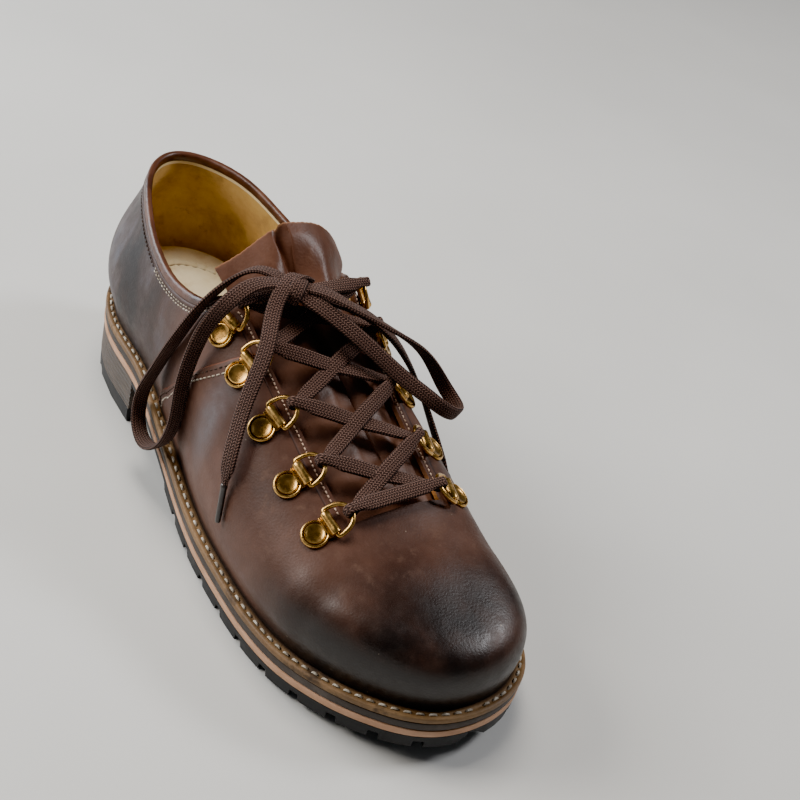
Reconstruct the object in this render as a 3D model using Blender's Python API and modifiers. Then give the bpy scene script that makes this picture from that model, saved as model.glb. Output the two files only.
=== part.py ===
"""Haferl shoe for the right foot, standing empty on its sole.

Sizes are millimetres and become metres where a mesh is written. In the tables x runs from the back of
the heel to the toe, y toward the inner (medial) side and z up from the floor. The root empty moves
the shoe so that its origin lies on the floor under the middle of its box.
"""

import math

import bmesh
import bpy
import numpy as np
from mathutils import Matrix

for old in list(bpy.data.objects):
    bpy.data.objects.remove(old)

MM = 0.001
GAP = 0.3
LATERAL = -1
MEDIAL = 1
SIDES = (LATERAL, MEDIAL)
UP = np.array([0.0, 0.0, 1.0])


def table(columns, *rows):
    """A short table as one array for each named column."""
    values = np.array(rows, float)
    return {name: values[:, i] for i, name in enumerate(columns.split())}


# The shoe as a whole: size 41, with the origin under the middle of its box.
LENGTH = 284.0
ORIGIN_X = 141.25
ORIGIN_Y = -1.9

# The layers of the sole, from the welt's top face down, and how the bottom rises at toe and heel.
FOREFOOT_STACK = 16.5
WELT_THICK = 3.0
DARK_THICK = 3.6
TAN_THICK = 3.2
OUTSOLE_BASE = 2.4
HEEL_RISE = 18.0
RISE_FROM, RISE_TO = 62.0, 165.0
TOE_SPRING = 9.0
SPRING_FROM = 200.0
SPRING_POWER = 1.8

# The sole's outline: half widths on either side, and the radius of each rounded end.
HEEL_RADIUS = 35.0
TOE_RADIUS = 52.0
TIP_SHIFT = 4.0
SOLE = table(
    "x   lateral medial",
    (36, 36.0, 35.5),
    (75, 39.0, 34.5),
    (110, 43.5, 32.5),
    (145, 48.5, 37.0),
    (180, 51.5, 45.0),
    (206, 51.5, 48.0),
    (228, 48.5, 48.0),
    (248, 41.0, 46.3),
    (267, 29.0, 38.3),
)
WELT_REACH = 4.6
WELT_REACH_HEEL = 3.5
HEEL_BREAST = 70.0
LIFT_THICK = 7.0
LIFT_LUG = 3.2
HEEL_LAYERS = 5
GROOVE_DEEP = 0.6
LUG_FROM = 122.0
LUG_PITCH = 17.0
LUG_NOTCH = 4.2
LUG_REACH = 13.0
LUG_GROOVE = 4.0

# The last: how far the wall swells past the feather line, how high it is widest, and its top line.
LEATHER = 2.4
FEATHER_GAP = 0.6
LAP = 1.1
LAP_FADE = 34.0
LAST = table(
    "x  swell_lat swell_med wide_lat wide_med ridge_z ridge_y full_side full_top",
    (8, 4.8, 4.8, 20, 20, 140, 0.0, 0.70, 0.70),
    (40, 4.0, 3.5, 19, 20, 140, 0.0, 0.70, 0.70),
    (75, 2.5, 3.0, 19, 24, 132, 0.5, 0.72, 0.70),
    (105, 2.5, 7.0, 19, 30, 114, 1.0, 0.74, 0.70),
    (128, 2.5, 8.5, 19, 31, 101, 2.0, 0.75, 0.70),
    (150, 3.0, 6.5, 18, 28, 88, 4.0, 0.75, 0.70),
    (175, 3.5, 3.5, 17, 21, 76, 6.0, 0.72, 0.68),
    (205, 3.5, 1.3, 16, 16, 65, 7.0, 0.66, 0.64),
    (225, 3.0, -0.5, 16, 14, 59, 7.5, 0.65, 0.66),
    (245, 2.5, -1.8, 15, 13, 55, 6.5, 0.72, 0.74),
    (276, 1.5, 1.5, 12.5, 12.5, 46, 4.0, 0.76, 0.78),
)
TOE_FAN_X = 200.0
TOE_PULL = 34.0

# The throat and the collar, which end the wall. Lean is in degrees from upright.
THROAT_FRONT = 211.0
THROAT_Y = 0.5
THROAT = table("x half", (100, 24.5), (128, 23.5), (165, 21.5), (211, 20.0), (240, 17.0))
COLLAR_BACK = 11.0
COLLAR_REACH = 72.0
COLLAR_END = 141.0
COLLAR = table(
    "x   half_lat half_med z_lat z_med lean",
    (11, 29.5, 28.5, 96.5, 96.5, 10),
    (35, 29.5, 29.0, 93.5, 95.5, 10),
    (65, 29.5, 29.5, 87.5, 90.5, 10),
    (88, 30.5, 30.5, 86.5, 88.5, 14),
    (105, 31.0, 31.0, 89.5, 90.5, 20),
    (122, 30.0, 30.0, 96.0, 96.0, 28),
    (141, 29.0, 29.0, 102.0, 102.0, 35),
)
COLLAR_FADE = (104.0, 132.0)
BINDING_R = 2.1
BINDING_TO = 116.0

# The wing of the vamp laps over the quarter along a seam that falls back from the throat to the welt.
SEAM = table(
    "row x",
    (0.0, 93.0),
    (0.7, 99.0),
    (1.0, 105.0),
    (1.2, 113.5),
    (1.4, 125.0),
    (1.6, 133.0),
    (1.8, 138.0),
    (2.0, 142.0),
)
QUARTER_COLUMNS = 16

# The clips and D-rings along the throat, from the toe end up, and the lace.
HOOK_X = (211.0, 189.0, 165.5, 143.5, 126.0)
HOOK_ROW = 1.82
CLIP_THICK = 1.0
CLIP_WIDE = 9.4
CLIP_ROUND = 5.0
TUBE_AT = 3.3
TUBE_R = 2.0
BORE_R = 1.3
RIVET_AT = -3.4
RIVET_R = 4.1
RIVET_FLAT = 0.36
RING_REACH = 9.0
RING_HALF = 6.0
RING_WIRE = 0.9
RING_LIFT = math.radians(12)
LACE_WIDE = 7.0
LACE_THICK = 1.6
LACE_CORD_R = 2.0
LACE_OFF_RING = 3.2
KNOT = np.array([133.0, -8.0, 110.0])
KNOT_HALF = np.array([7.0, 8.0, 4.4])
AGLET_R = 1.7
AGLET_LONG = 16.0
CORD_STEP = 10.0
LATERAL_LOOP = table(
    "x    y     z",
    (123, -14.5, 112.8),
    (119.4, -18.2, 113),
    (116.4, -26.6, 107),
    (114.3, -35.6, 96.2),
    (109.8, -42.4, 77.7),
    (99.9, -43.7, 55.9),
    (92.3, -45.2, 34),
    (94.9, -47.1, 21),
    (106.3, -47.9, 19.4),
    (117.8, -47.4, 28.3),
    (125.4, -47, 45.7),
    (125.9, -46.3, 70),
    (126, -41.1, 92),
    (128.7, -33.7, 106.7),
    (128.1, -24, 112.1),
)
MEDIAL_LOOP = table(
    "x    y     z",
    (150.6, 3.5, 105.2),
    (161.3, 13.1, 98.1),
    (172.9, 22.3, 89.1),
    (175, 34.5, 76.9),
    (177.4, 46.9, 66.4),
    (181.3, 48, 74.1),
    (179.9, 42.6, 85),
    (167.4, 32.6, 95.9),
    (156.5, 20.1, 104.2),
    (148.2, 8.6, 110.1),
)
LATERAL_END = table(
    "x    y     z",
    (137.3, -19, 107.8),
    (150.5, -28, 97.8),
    (160, -39.2, 80.1),
    (170.2, -48, 64.6),
    (172.8, -49.7, 54.2),
)
MEDIAL_END = table(
    "x    y     z",
    (138.5, 4.7, 107),
    (146.5, 15.7, 104.9),
    (154.2, 29, 94.3),
    (162.7, 40.3, 75.9),
    (175.5, 44.7, 59.5),
    (187.2, 48, 44.5),
)

# The tongue: how far its folds stand above the last, by station.
TONGUE_THICK = 1.8
TONGUE_DROP = 1.9
TONGUE = table(
    "x   half_lat half_med fold_lat valley fold_med fold_y fold_w",
    (104, 28.3, 29.0, 4.9, 0.9, 9.9, 14.0, 11.0),
    (110, 27.3, 28.5, 4.6, -1.2, 8.7, 13.4, 10.1),
    (116, 26.0, 25.0, 4.2, -3.1, 7.4, 12.8, 9.2),
    (122, 25.2, 24.5, 3.8, -4.4, 5.9, 12.3, 8.4),
    (126, 26.5, 26.5, 3.5, -5.0, 5.0, 12.0, 8.0),
    (145, 26.5, 26.5, 3.0, -6.5, 3.5, 11.0, 7.5),
    (165, 26.0, 26.0, 2.5, -6.0, 3.0, 11.0, 7.5),
    (188, 25.0, 25.0, 1.5, -4.0, 1.5, 11.0, 7.5),
    (208, 24.0, 24.0, 0.0, -0.5, 0.0, 11.0, 7.5),
    (222, 23.0, 23.0, 0.0, 0.0, 0.0, 11.0, 7.5),
)

# The tongue's free top: a straight panel on the outer side and a round lobe on the inner side.
TOP_FADE = (108.0, 121.0)
TOP_FALL = 0.55
PANEL_Y, PANEL_Z, PANEL_SLOPE = -2.4, 119.8, 0.618
LOBE_Y, LOBE_HALF, LOBE_Z, LOBE_HIGH = 3.5, 28.5, 93.0, 28.7


def along(tab, column, x, by="x"):
    """A column of a table at x, by a cubic through its rows."""
    xs = tab[by]
    ys = tab[column]
    x = np.clip(np.asarray(x, float), xs[0], xs[-1])
    slope = np.gradient(ys, xs)
    i = np.clip(np.searchsorted(xs, x, side="right") - 1, 0, len(xs) - 2)
    step = xs[i + 1] - xs[i]
    t = (x - xs[i]) / step
    start = (2 * t**3 - 3 * t**2 + 1) * ys[i] + (t**3 - 2 * t**2 + t) * step * slope[i]
    end = (3 * t**2 - 2 * t**3) * ys[i + 1] + (t**3 - t**2) * step * slope[i + 1]
    return start + end


def ease(low, high, x):
    """0 below low, 1 above high, with a smooth rise between."""
    t = np.clip((np.asarray(x, float) - low) / (high - low), 0, 1)
    return t * t * (3 - 2 * t)


def psi_at(x):
    """The outline's angle at x: 0 at the back of the heel, pi at the toe tip."""
    return np.arccos(np.clip(1 - 2 * np.asarray(x, float) / LENGTH, -1, 1))


def station(psi):
    """The outline's x at an angle."""
    return LENGTH / 2 * (1 - np.cos(psi))


def axis_y(x):
    """The sole's middle line, which leans to the inner side at the toe."""
    return TIP_SHIFT * ease(150, LENGTH, x)


def outline_of(side):
    """The half width of the outline over the sine of its angle, as a table by angle."""
    inner = psi_at(SOLE["x"])
    half = SOLE["lateral" if side < 0 else "medial"] - side * axis_y(SOLE["x"])
    ends = [math.sqrt(radius * LENGTH / 2) for radius in (HEEL_RADIUS, TOE_RADIUS)]
    ratio = np.concatenate([[ends[0]], half / np.sin(inner), [ends[1]]])
    return {"x": np.concatenate([[0.0], inner, [math.pi]]), "ratio": ratio}


OUTLINE = {side: outline_of(side) for side in SIDES}


def outline(psi, side):
    """y = axis + side * sin(psi) * ratio(psi), x = length/2 * (1 - cos(psi))."""
    x = station(psi)
    y = axis_y(x) + side * np.sin(psi) * along(OUTLINE[side], "ratio", psi)
    return np.stack([x, y], -1)


def sole_edge(psi, side, inset):
    """The outline moved in by inset, and its outward direction in plan."""
    psi = np.asarray(psi, float)
    run = outline(psi + 1e-3, side) - outline(psi - 1e-3, side)
    out = np.stack([run[..., 1], -run[..., 0]], -1) * -side
    out = out / np.linalg.norm(out, axis=-1, keepdims=True)
    inset = np.broadcast_to(np.asarray(inset, float), psi.shape)
    return outline(psi, side) - out * inset[..., None], out


def tread_z(x):
    """The bottom of the tread: flat under the ball, up at the toe and up to the heel seat at the waist."""
    x = np.asarray(x, float)
    spring = TOE_SPRING * np.clip((x - SPRING_FROM) / (LENGTH - SPRING_FROM), 0, 1) ** SPRING_POWER
    return spring + HEEL_RISE * (1 - ease(RISE_FROM, RISE_TO, x))


def seat_z(x):
    """The top face of the welt."""
    return FOREFOOT_STACK + tread_z(x)


def welt_reach(x):
    """How far the welt stands out past the leather."""
    return WELT_REACH_HEEL + (WELT_REACH - WELT_REACH_HEEL) * ease(60, 110, x)


def named(side, column):
    return column + ("_lat" if side < 0 else "_med")


def bezier(poly, t):
    """A cubic Bezier of control points poly[..., 4, 3] at t."""
    t = np.asarray(t, float)[..., None]
    a, b, c, d = (poly[..., i, :] for i in range(4))
    return (1 - t) ** 3 * a + 3 * (1 - t) ** 2 * t * b + 3 * (1 - t) * t**2 * c + t**3 * d


def split(poly, t):
    """The two Beziers that a cut at t leaves."""
    t = np.asarray(t, float)[:, None]
    a, b, c, d = (poly[:, i] for i in range(4))
    ab, bc, cd = a + (b - a) * t, b + (c - b) * t, c + (d - c) * t
    abc, bcd = ab + (bc - ab) * t, bc + (cd - bc) * t
    mid = abc + (bcd - abc) * t
    return np.stack([a, ab, abc, mid], 1), np.stack([mid, bcd, cd, d], 1)


def reach_y(poly, side, half):
    """The t at which a section comes in to half from the throat's middle."""
    low, high = np.zeros(len(poly)), np.ones(len(poly))
    for _ in range(40):
        mid = (low + high) / 2
        outside = side * (bezier(poly, mid)[:, 1] - THROAT_Y) > half
        low, high = np.where(outside, mid, low), np.where(outside, high, mid)
    return (low + high) / 2


def whole_section(psi, side):
    """A half section of the last as if it were closed: feather to widest, and widest to the ridge."""
    x = station(psi)
    foot, out = sole_edge(psi, side, welt_reach(x) + LEATHER)
    fx = foot[:, 0]
    out = np.column_stack([out, 0 * x])
    feather = np.column_stack([foot, seat_z(fx) + FEATHER_GAP])
    swell = along(LAST, named(side, "swell"), fx)[:, None]
    high = along(LAST, named(side, "wide"), fx)[:, None]
    wide = feather + out * swell + UP * high
    lower = np.stack([feather, feather + 0.35 * UP * high, wide - 0.5 * UP * high, wide], 1)
    rx = x - TOE_PULL * np.clip((x - TOE_FAN_X) / (LENGTH - TOE_FAN_X), 0, 1) ** 2
    ridge = np.column_stack([rx, along(LAST, "ridge_y", rx), along(LAST, "ridge_z", rx)])
    slope = along(LAST, "ridge_z", rx + 0.5) - along(LAST, "ridge_z", rx - 0.5)
    across = (ridge - wide)[:, :2]
    width = np.maximum(np.linalg.norm(across, axis=1, keepdims=True), 1e-6)
    level = np.column_stack([across / width, across[:, 0] / width[:, 0] * slope])
    side_pull = along(LAST, "full_side", rx)[:, None] * (ridge - wide)[:, 2:]
    top_pull = along(LAST, "full_top", rx)[:, None] * width
    closed = np.stack([wide, wide + UP * side_pull, ridge - level * top_pull, ridge], 1)
    return lower, closed, out


def section(psi, side):
    """A half section of the upper: feather to widest, widest to its free edge, and edge to ridge (vamp)."""
    psi = np.asarray(psi, float)
    x = station(psi)
    lower, closed, out = whole_section(psi, side)
    cut = reach_y(closed, side, along(THROAT, "half", x))
    toe = ease(214, 250, x)
    eyestay, top = split(closed, cut * (1 - toe) + 0.62 * toe)
    wide = lower[:, 3]
    ex = np.clip(COLLAR_BACK + x * (COLLAR_END - COLLAR_BACK) / COLLAR_END, COLLAR_BACK, COLLAR_END)
    round_off = np.sqrt(1 - (1 - np.clip((ex - COLLAR_BACK) / COLLAR_REACH, 0, 1)) ** 2)
    half = along(COLLAR, named(side, "half"), ex) * round_off
    edge = np.column_stack([ex, side * half, along(COLLAR, named(side, "z"), ex)])
    lean = np.radians(along(COLLAR, "lean", ex))[:, None]
    rise = (edge - wide)[:, 2:]
    upright = UP * np.cos(lean) - out * np.sin(lean)
    collar = np.stack([wide, wide + 0.42 * UP * rise, edge - 0.38 * upright * rise, edge], 1)
    throat = ease(*COLLAR_FADE, x)[:, None, None]
    return lower, collar * (1 - throat) + eyestay * throat, top


def upper_point(psi, side, row):
    """A point of the last: row 0 feather, 1 widest, 2 free edge, 3 ridge (in front of the throat)."""
    psi = np.atleast_1d(np.asarray(psi, float))
    row = np.broadcast_to(np.asarray(row, float), psi.shape)
    parts = section(psi, side)
    found = bezier(parts[0], np.clip(row, 0, 1))
    found = np.where((row > 1)[:, None], bezier(parts[1], np.clip(row - 1, 0, 1)), found)
    return np.where((row > 2)[:, None], bezier(parts[2], np.clip(row - 2, 0, 1)), found)


def upper_frame(psi, side, row):
    """Point, outward normal, way to the throat and way along the edge on the last's surface."""
    step = 1e-3
    point = upper_point(psi, side, row)[0]
    run = upper_point(psi + step, side, row)[0] - upper_point(psi - step, side, row)[0]
    rise = upper_point(psi, side, row + step)[0] - upper_point(psi, side, row - step)[0]
    normal = np.cross(run, rise) * -side
    normal /= np.linalg.norm(normal)
    inward = rise / np.linalg.norm(rise)
    inward -= normal * inward.dot(normal)
    inward /= np.linalg.norm(inward)
    return point, normal, inward, np.cross(normal, inward)


# The scene: one collection for the parts, one for cutters, and the root that carries the parts.
parts = bpy.data.collections.new("haferl_shoe")
cutters = bpy.data.collections.new("cutters")
bpy.context.scene.collection.children.link(parts)
bpy.context.scene.collection.children.link(cutters)
root = bpy.data.objects.new("root", None)
root.location = (-ORIGIN_X * MM, -ORIGIN_Y * MM, 0)
parts.objects.link(root)


def material(name, colour, roughness, metallic=0.0):
    made = bpy.data.materials.new(name)
    made.use_nodes = True
    shader = made.node_tree.nodes["Principled BSDF"]
    shader.inputs["Base Color"].default_value = (*colour, 1)
    shader.inputs["Roughness"].default_value = roughness
    shader.inputs["Metallic"].default_value = metallic
    return made


UPPER_LEATHER = material("upper_leather", (0.055, 0.022, 0.014), 0.38)
TONGUE_LEATHER = material("tongue_leather", (0.090, 0.035, 0.021), 0.48)
BINDING_LEATHER = material("binding_leather", (0.085, 0.026, 0.016), 0.35)
LINING = material("sock", (0.62, 0.50, 0.30), 0.85)
WELT_LEATHER = material("welt_leather", (0.23, 0.13, 0.065), 0.6)
DARK_LAYER = material("dark_layer", (0.030, 0.019, 0.014), 0.6)
TAN_LAYER = material("tan_layer", (0.52, 0.29, 0.15), 0.65)
RUBBER = material("rubber", (0.012, 0.012, 0.013), 0.62)
HEEL_LEATHER = material("heel_layers", (0.085, 0.060, 0.045), 0.7)
BRASS = material("antique_brass", (0.47, 0.29, 0.09), 0.32, 1.0)
LACE = material("lace", (0.042, 0.024, 0.018), 0.85)
AGLET = material("aglet", (0.020, 0.013, 0.011), 0.4)


def place(name, data, look, matrix=None):
    """A part of the shoe, under the root."""
    piece = bpy.data.objects.new(name, data)
    parts.objects.link(piece)
    piece.parent = root
    if matrix is not None:
        piece.matrix_basis = matrix
    if not data.materials:
        data.materials.append(look)
    return piece


def mesh_of(name, points, faces, weld=1e-6):
    """A mesh from points in millimetres, with its doubles welded and its faces turned out."""
    form = bmesh.new()
    corners = [form.verts.new(np.asarray(p, float) * MM) for p in points]
    for face in faces:
        form.faces.new([corners[i] for i in face])
    bmesh.ops.remove_doubles(form, verts=form.verts, dist=weld)
    bmesh.ops.recalc_face_normals(form, faces=form.faces)
    data = bpy.data.meshes.new(name)
    form.to_mesh(data)
    form.free()
    return data


def loft(name, loops, look):
    """Loops of equal length, each the outer side then the inner side back, joined and capped."""
    count = len(loops[0])
    points = np.concatenate(loops)
    faces = []
    for level in range(len(loops) - 1):
        low = level * count
        for i in range(count):
            j = (i + 1) % count
            faces.append((low + i, low + j, low + count + j, low + count + i))
    for low in (0, (len(loops) - 1) * count):
        for i in range(count // 2 - 1):
            faces.append((low + i, low + i + 1, low + count - 2 - i, low + count - 1 - i))
    return place(name, mesh_of(name, points, faces), look)


def loop(psi, inset, height):
    """The outline at an inset, out along the lateral side and back along the medial, at height(x)."""
    rings = []
    for side in SIDES:
        edge, _ = sole_edge(psi, side, inset)
        rings.append(np.column_stack([edge, height(edge[:, 0]) + 0 * edge[:, 0]]))
    return np.concatenate([rings[0], rings[1][::-1]])


def spread(start, end, count):
    """Angles of stations from start to end."""
    return np.linspace(psi_at(start), psi_at(end), count)


def below_seat(drop):
    return lambda x: seat_z(x) - drop


ROUND = (np.arange(28) + 0.5) * math.pi / 28
DARK_TOP = WELT_THICK + GAP
TAN_TOP = DARK_TOP + DARK_THICK + GAP
OUTSOLE_TOP = TAN_TOP + TAN_THICK + GAP

loft("midsole_dark", [loop(ROUND, 0.3, below_seat(d)) for d in (DARK_TOP + DARK_THICK, DARK_TOP)], DARK_LAYER)
loft("midsole_tan", [loop(ROUND, 0.1, below_seat(d)) for d in (TAN_TOP + TAN_THICK, TAN_TOP)], TAN_LAYER)


WELT_PROFILE = ((0.6, WELT_THICK), (0.0, WELT_THICK - 0.6), (0.0, 0.7), (0.7, 0.0))
loft("welt", [loop(ROUND, inset, below_seat(drop)) for inset, drop in WELT_PROFILE], WELT_LEATHER)


def treaded(name, psi, lugs, top, base, foot, look):
    """A slab with lugs under it. psi runs from the straight end to the round end.

    Across each station lie six points: edge, lug end, groove, groove, lug end, edge. A cell between
    two stations is a lug where lugs says so, on the two outer strips and on the middle one.
    """
    insets = (0.3, LUG_REACH, LUG_REACH + LUG_GROOVE)
    rows = [sole_edge(psi, LATERAL, inset)[0] for inset in insets]
    rows += [sole_edge(psi, MEDIAL, inset)[0] for inset in insets[::-1]]
    for row in rows:
        row[0, 0] = station(psi[0])
    count = len(psi)
    points = []
    for row in rows:
        x = row[:, 0]
        points += [np.column_stack([row, base(x)]), np.column_stack([row, foot(x)])]
    points += [np.column_stack([rows[i], top(rows[i][:, 0])]) for i in (0, 5)]
    points = np.concatenate(points)

    def at(i, j, down):
        return (2 * j + down) * count + i

    def over(i, j):
        return (12 if j == 0 else 13) * count + i

    faces = []
    for i in range(count - 1):
        faces.append((over(i, 0), over(i + 1, 0), over(i + 1, 5), over(i, 5)))
        for j in (0, 5):
            faces.append((over(i, j), over(i + 1, j), at(i + 1, j, 0), at(i, j, 0)))
        for j in range(5):
            down = int(bool(lugs[i]) and j % 2 == 0)
            faces.append(tuple(at(a, b, down) for a, b in ((i, j), (i + 1, j), (i + 1, j + 1), (i, j + 1))))
            if not down:
                continue
            walls = [((i, j), (i + 1, j)), ((i + 1, j + 1), (i, j + 1))]
            if i == 0 or not lugs[i - 1]:
                walls.append(((i, j + 1), (i, j)))
            if i == count - 2 or not lugs[i + 1]:
                walls.append(((i + 1, j), (i + 1, j + 1)))
            for a, b in walls:
                faces.append((at(*a, 0), at(*b, 0), at(*b, 1), at(*a, 1)))
    last = count - 1
    faces.append((over(0, 0), *(at(0, j, 0) for j in range(6)), over(0, 5)))
    faces.append((over(last, 0), over(last, 5), at(last, 5, 0), at(last, 0, 0)))
    faces.append(tuple(at(last, j, 0) for j in range(6)))
    return place(name, mesh_of(name, points, faces), look)


def outsole():
    """The forefoot and waist: plain at the waist, lugs from the joint forward, closer at the toe's turn."""
    marks = list(np.linspace(HEEL_BREAST + GAP, LUG_FROM, 4))
    lugs = [False] * 3
    psi = list(psi_at(marks))
    arc = np.linspace(psi_at(LUG_FROM), math.pi - 0.05, 400)
    edge = outline(arc, LATERAL)
    run = np.concatenate([[0], np.cumsum(np.linalg.norm(np.diff(edge, axis=0), axis=1))])
    count = round(run[-1] / LUG_PITCH)
    for k in range(count):
        start = run[-1] * k / count
        for part in (0.5 * (LUG_PITCH - LUG_NOTCH), LUG_PITCH - LUG_NOTCH, LUG_PITCH):
            if part == LUG_PITCH and k == count - 1:
                continue
            psi.append(float(np.interp(start + part / LUG_PITCH * run[-1] / count, run, arc)))
            lugs.append(part < LUG_PITCH)
    return treaded(
        "outsole",
        np.array(psi),
        lugs,
        below_seat(OUTSOLE_TOP),
        below_seat(OUTSOLE_TOP + OUTSOLE_BASE),
        tread_z,
        RUBBER,
    )


outsole()


def heel():
    """The grooved stack under the heel seat and the lugged lift that treads the floor."""
    psi = np.linspace(0.09, psi_at(HEEL_BREAST - GAP), 11)
    bottom = LIFT_THICK + GAP
    top = seat_z(0.0) - OUTSOLE_TOP
    layer = (top - bottom) / HEEL_LAYERS
    levels = []
    for k in range(HEEL_LAYERS):
        low = bottom + k * layer
        levels += [(0.4, low + 0.25 * layer), (0.4, low + 0.82 * layer)]
        if k < HEEL_LAYERS - 1:
            levels.append((0.4 + GROOVE_DEEP, low + layer))
    levels = [(0.4, bottom)] + levels[1:-1] + [(0.4, top)]
    loops = [loop(psi, inset, lambda x, z=z: z + 0 * x) for inset, z in levels[:-1]]
    loops.append(loop(psi, levels[-1][0], below_seat(OUTSOLE_TOP)))
    loft("heel_stack", loops, HEEL_LEATHER)
    marks = np.array([0.0, 0.16, 0.33, 0.41, 0.55, 0.69, 0.77, 0.90, 1.0])
    lugs = [True, True, False, True, True, False, True, True]
    treaded(
        "top_lift",
        psi_at(HEEL_BREAST - GAP) + marks * (0.11 - psi_at(HEEL_BREAST - GAP)),
        lugs,
        lambda x: LIFT_THICK + 0 * x,
        lambda x: LIFT_LUG + 0 * x,
        lambda x: 0 * x,
        RUBBER,
    )


heel()

# The insole lies on the welt inside the leather, with a heel pad that fades out at the ball.
INSOLE_THICK = 3.0
INSOLE_CLEAR = 1.4
PAD_HIGH = 10.0
PAD_FADE = (60.0, 170.0)


def insole_loop(height, pad):
    """The insole's outline at a height over the welt, plus a share of the heel pad."""
    edges = []
    for side in SIDES:
        edge, _ = sole_edge(ROUND, side, welt_reach(station(ROUND)) + LEATHER + INSOLE_CLEAR)
        raised = height + pad * PAD_HIGH * (1 - ease(*PAD_FADE, edge[:, 0]))
        edges.append(np.column_stack([edge, seat_z(edge[:, 0]) + raised]))
    return np.concatenate([edges[0], edges[1][::-1]])


loft("insole", [insole_loop(GAP, 0.0), insole_loop(GAP + INSOLE_THICK, 1.0)], LINING)


def seam_x(row):
    """The seam's station at a row of the wall: far back at the welt, forward at the throat."""
    return along(SEAM, "x", row, by="row")


def leather_at(x, row, lapped):
    """The wall's thickness: the leather, plus the lap of the wing where it starts at the seam."""
    return LEATHER + (LAP * (1 - ease(0, LAP_FADE, x - seam_x(row))) if lapped else 0.0)


def upper():
    """The leather shell: the last's surface as columns along it and rows up it, thickened outward.

    The columns between heel and throat shear so that one pair of them follows the seam, where the wall
    steps up by the lap of the wing; the step fades out forward.
    """
    rows = np.concatenate([[0, 0.12, 0.5], np.linspace(1, 2, 8), np.linspace(2, 3, 5)[1:]])
    edge_row = 10
    share = np.concatenate(
        [np.linspace(0, 1, QUARTER_COLUMNS), 1 + np.linspace(0, 1, 7), 2 + np.linspace(0, 1, 12)[1:]]
    )
    lap_column = QUARTER_COLUMNS
    throat_column = QUARTER_COLUMNS + 6
    throat_psi = psi_at(THROAT_FRONT)
    points, faces, weights = [], [], []
    for side in SIDES:
        grid = {}
        for j, row in enumerate(rows):
            seam_psi = psi_at(seam_x(row))
            marks = [0, seam_psi, throat_psi, math.pi]
            psi = np.interp(share, [0, 1, 2, 3], marks)
            psi[lap_column - 1] -= 0.003
            psi[lap_column] += 0.003
            for i, point in enumerate(upper_point(psi, side, row)):
                if j > edge_row and i < throat_column:
                    continue
                grid[i, j] = len(points)
                points.append(point)
                weights.append(leather_at(station(psi[i]), row, i >= lap_column) / (LEATHER + LAP))
        for i in range(len(share) - 1):
            for j in range(len(rows) - 1):
                corners = [(i, j), (i + 1, j), (i + 1, j + 1), (i, j + 1)]
                if all(c in grid for c in corners):
                    faces.append([grid[c] for c in corners][::-side])
    form = bmesh.new()
    layer = form.verts.layers.deform.verify()
    corners = []
    for point, weight in zip(points, weights):
        vert = form.verts.new(point * MM)
        vert[layer][0] = weight
        corners.append(vert)
    for face in faces:
        form.faces.new([corners[i] for i in face])
    bmesh.ops.remove_doubles(form, verts=form.verts, dist=2e-6)
    data = bpy.data.meshes.new("upper")
    form.to_mesh(data)
    form.free()
    piece = place("upper", data, UPPER_LEATHER)
    piece.vertex_groups.new(name="leather")
    wall = piece.modifiers.new("leather", "SOLIDIFY")
    wall.thickness = (LEATHER + LAP) * MM
    wall.offset = 1
    wall.vertex_group = "leather"
    wall.use_even_offset = True
    data.shade_smooth()
    return piece


upper()


def tube(name, points, radius, sides=2, closed=False):
    """A round bar along points in millimetres."""
    data = bpy.data.curves.new(name, "CURVE")
    data.dimensions = "3D"
    data.bevel_depth = radius * MM
    data.bevel_resolution = sides
    data.use_fill_caps = not closed
    spline = data.splines.new("POLY")
    spline.points.add(len(points) - 1)
    for target, point in zip(spline.points, points):
        target.co = (*(np.asarray(point, float) * MM), 1)
    spline.use_cyclic_u = closed
    return data


def collar_binding():
    """The rolled edge that sits on the collar, from eyestay to eyestay round the heel."""
    psi = np.linspace(0, psi_at(SEAM["x"][-1]), QUARTER_COLUMNS)
    psi = psi[station(psi) < BINDING_TO]
    runs = []
    for side in SIDES:
        run = []
        for angle in psi:
            point, normal, rise, _ = upper_frame(max(angle, 2e-3), side, 1.999)
            run.append(point + normal * LEATHER / 2 + rise * (BINDING_R + 2.5 * GAP))
        runs.append(np.array(run))
    path = np.concatenate([runs[0][::-1], runs[1][1:]])
    return place("collar_binding", tube("collar_binding", path, BINDING_R, 1), BINDING_LEATHER)


collar_binding()


def tongue_point(x, y):
    """A point of the tongue's outer face: the last, dropped clear of the leather, plus its folds."""
    side = LATERAL if y < THROAT_Y else MEDIAL
    _, closed, _ = whole_section(psi_at(np.array([x])), side)
    t = reach_y(closed, side, abs(y - THROAT_Y))
    point = bezier(closed, t)[0]
    half = float(along(THROAT, "half", x)) - 1.0
    clear = 1 - ease(half - 7.0, half, abs(y - THROAT_Y)) if x > 122 else 1 - ease(20.0, 34.0, abs(y - THROAT_Y))
    off = (abs(y) - along(TONGUE, "fold_y", x)) / along(TONGUE, "fold_w", x)
    fold = along(TONGUE, named(side, "fold"), x) * math.exp(-(off**2))
    crease = along(TONGUE, "valley", x) * math.exp(-((y / 4.2) ** 2))
    folded = point + UP * (clear * (fold + crease) - TONGUE_DROP)
    panel = PANEL_Z + PANEL_SLOPE * (y - PANEL_Y)
    lobe = LOBE_Z + LOBE_HIGH * math.sqrt(max(0.0, 1 - (max(0.0, y - LOBE_Y) / LOBE_HALF) ** 2))
    top = (panel if y < PANEL_Y else lobe) - TOP_FALL * (x - TONGUE["x"][0])
    return folded + UP * (top - folded[2]) * (1 - ease(*TOP_FADE, x))


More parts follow.
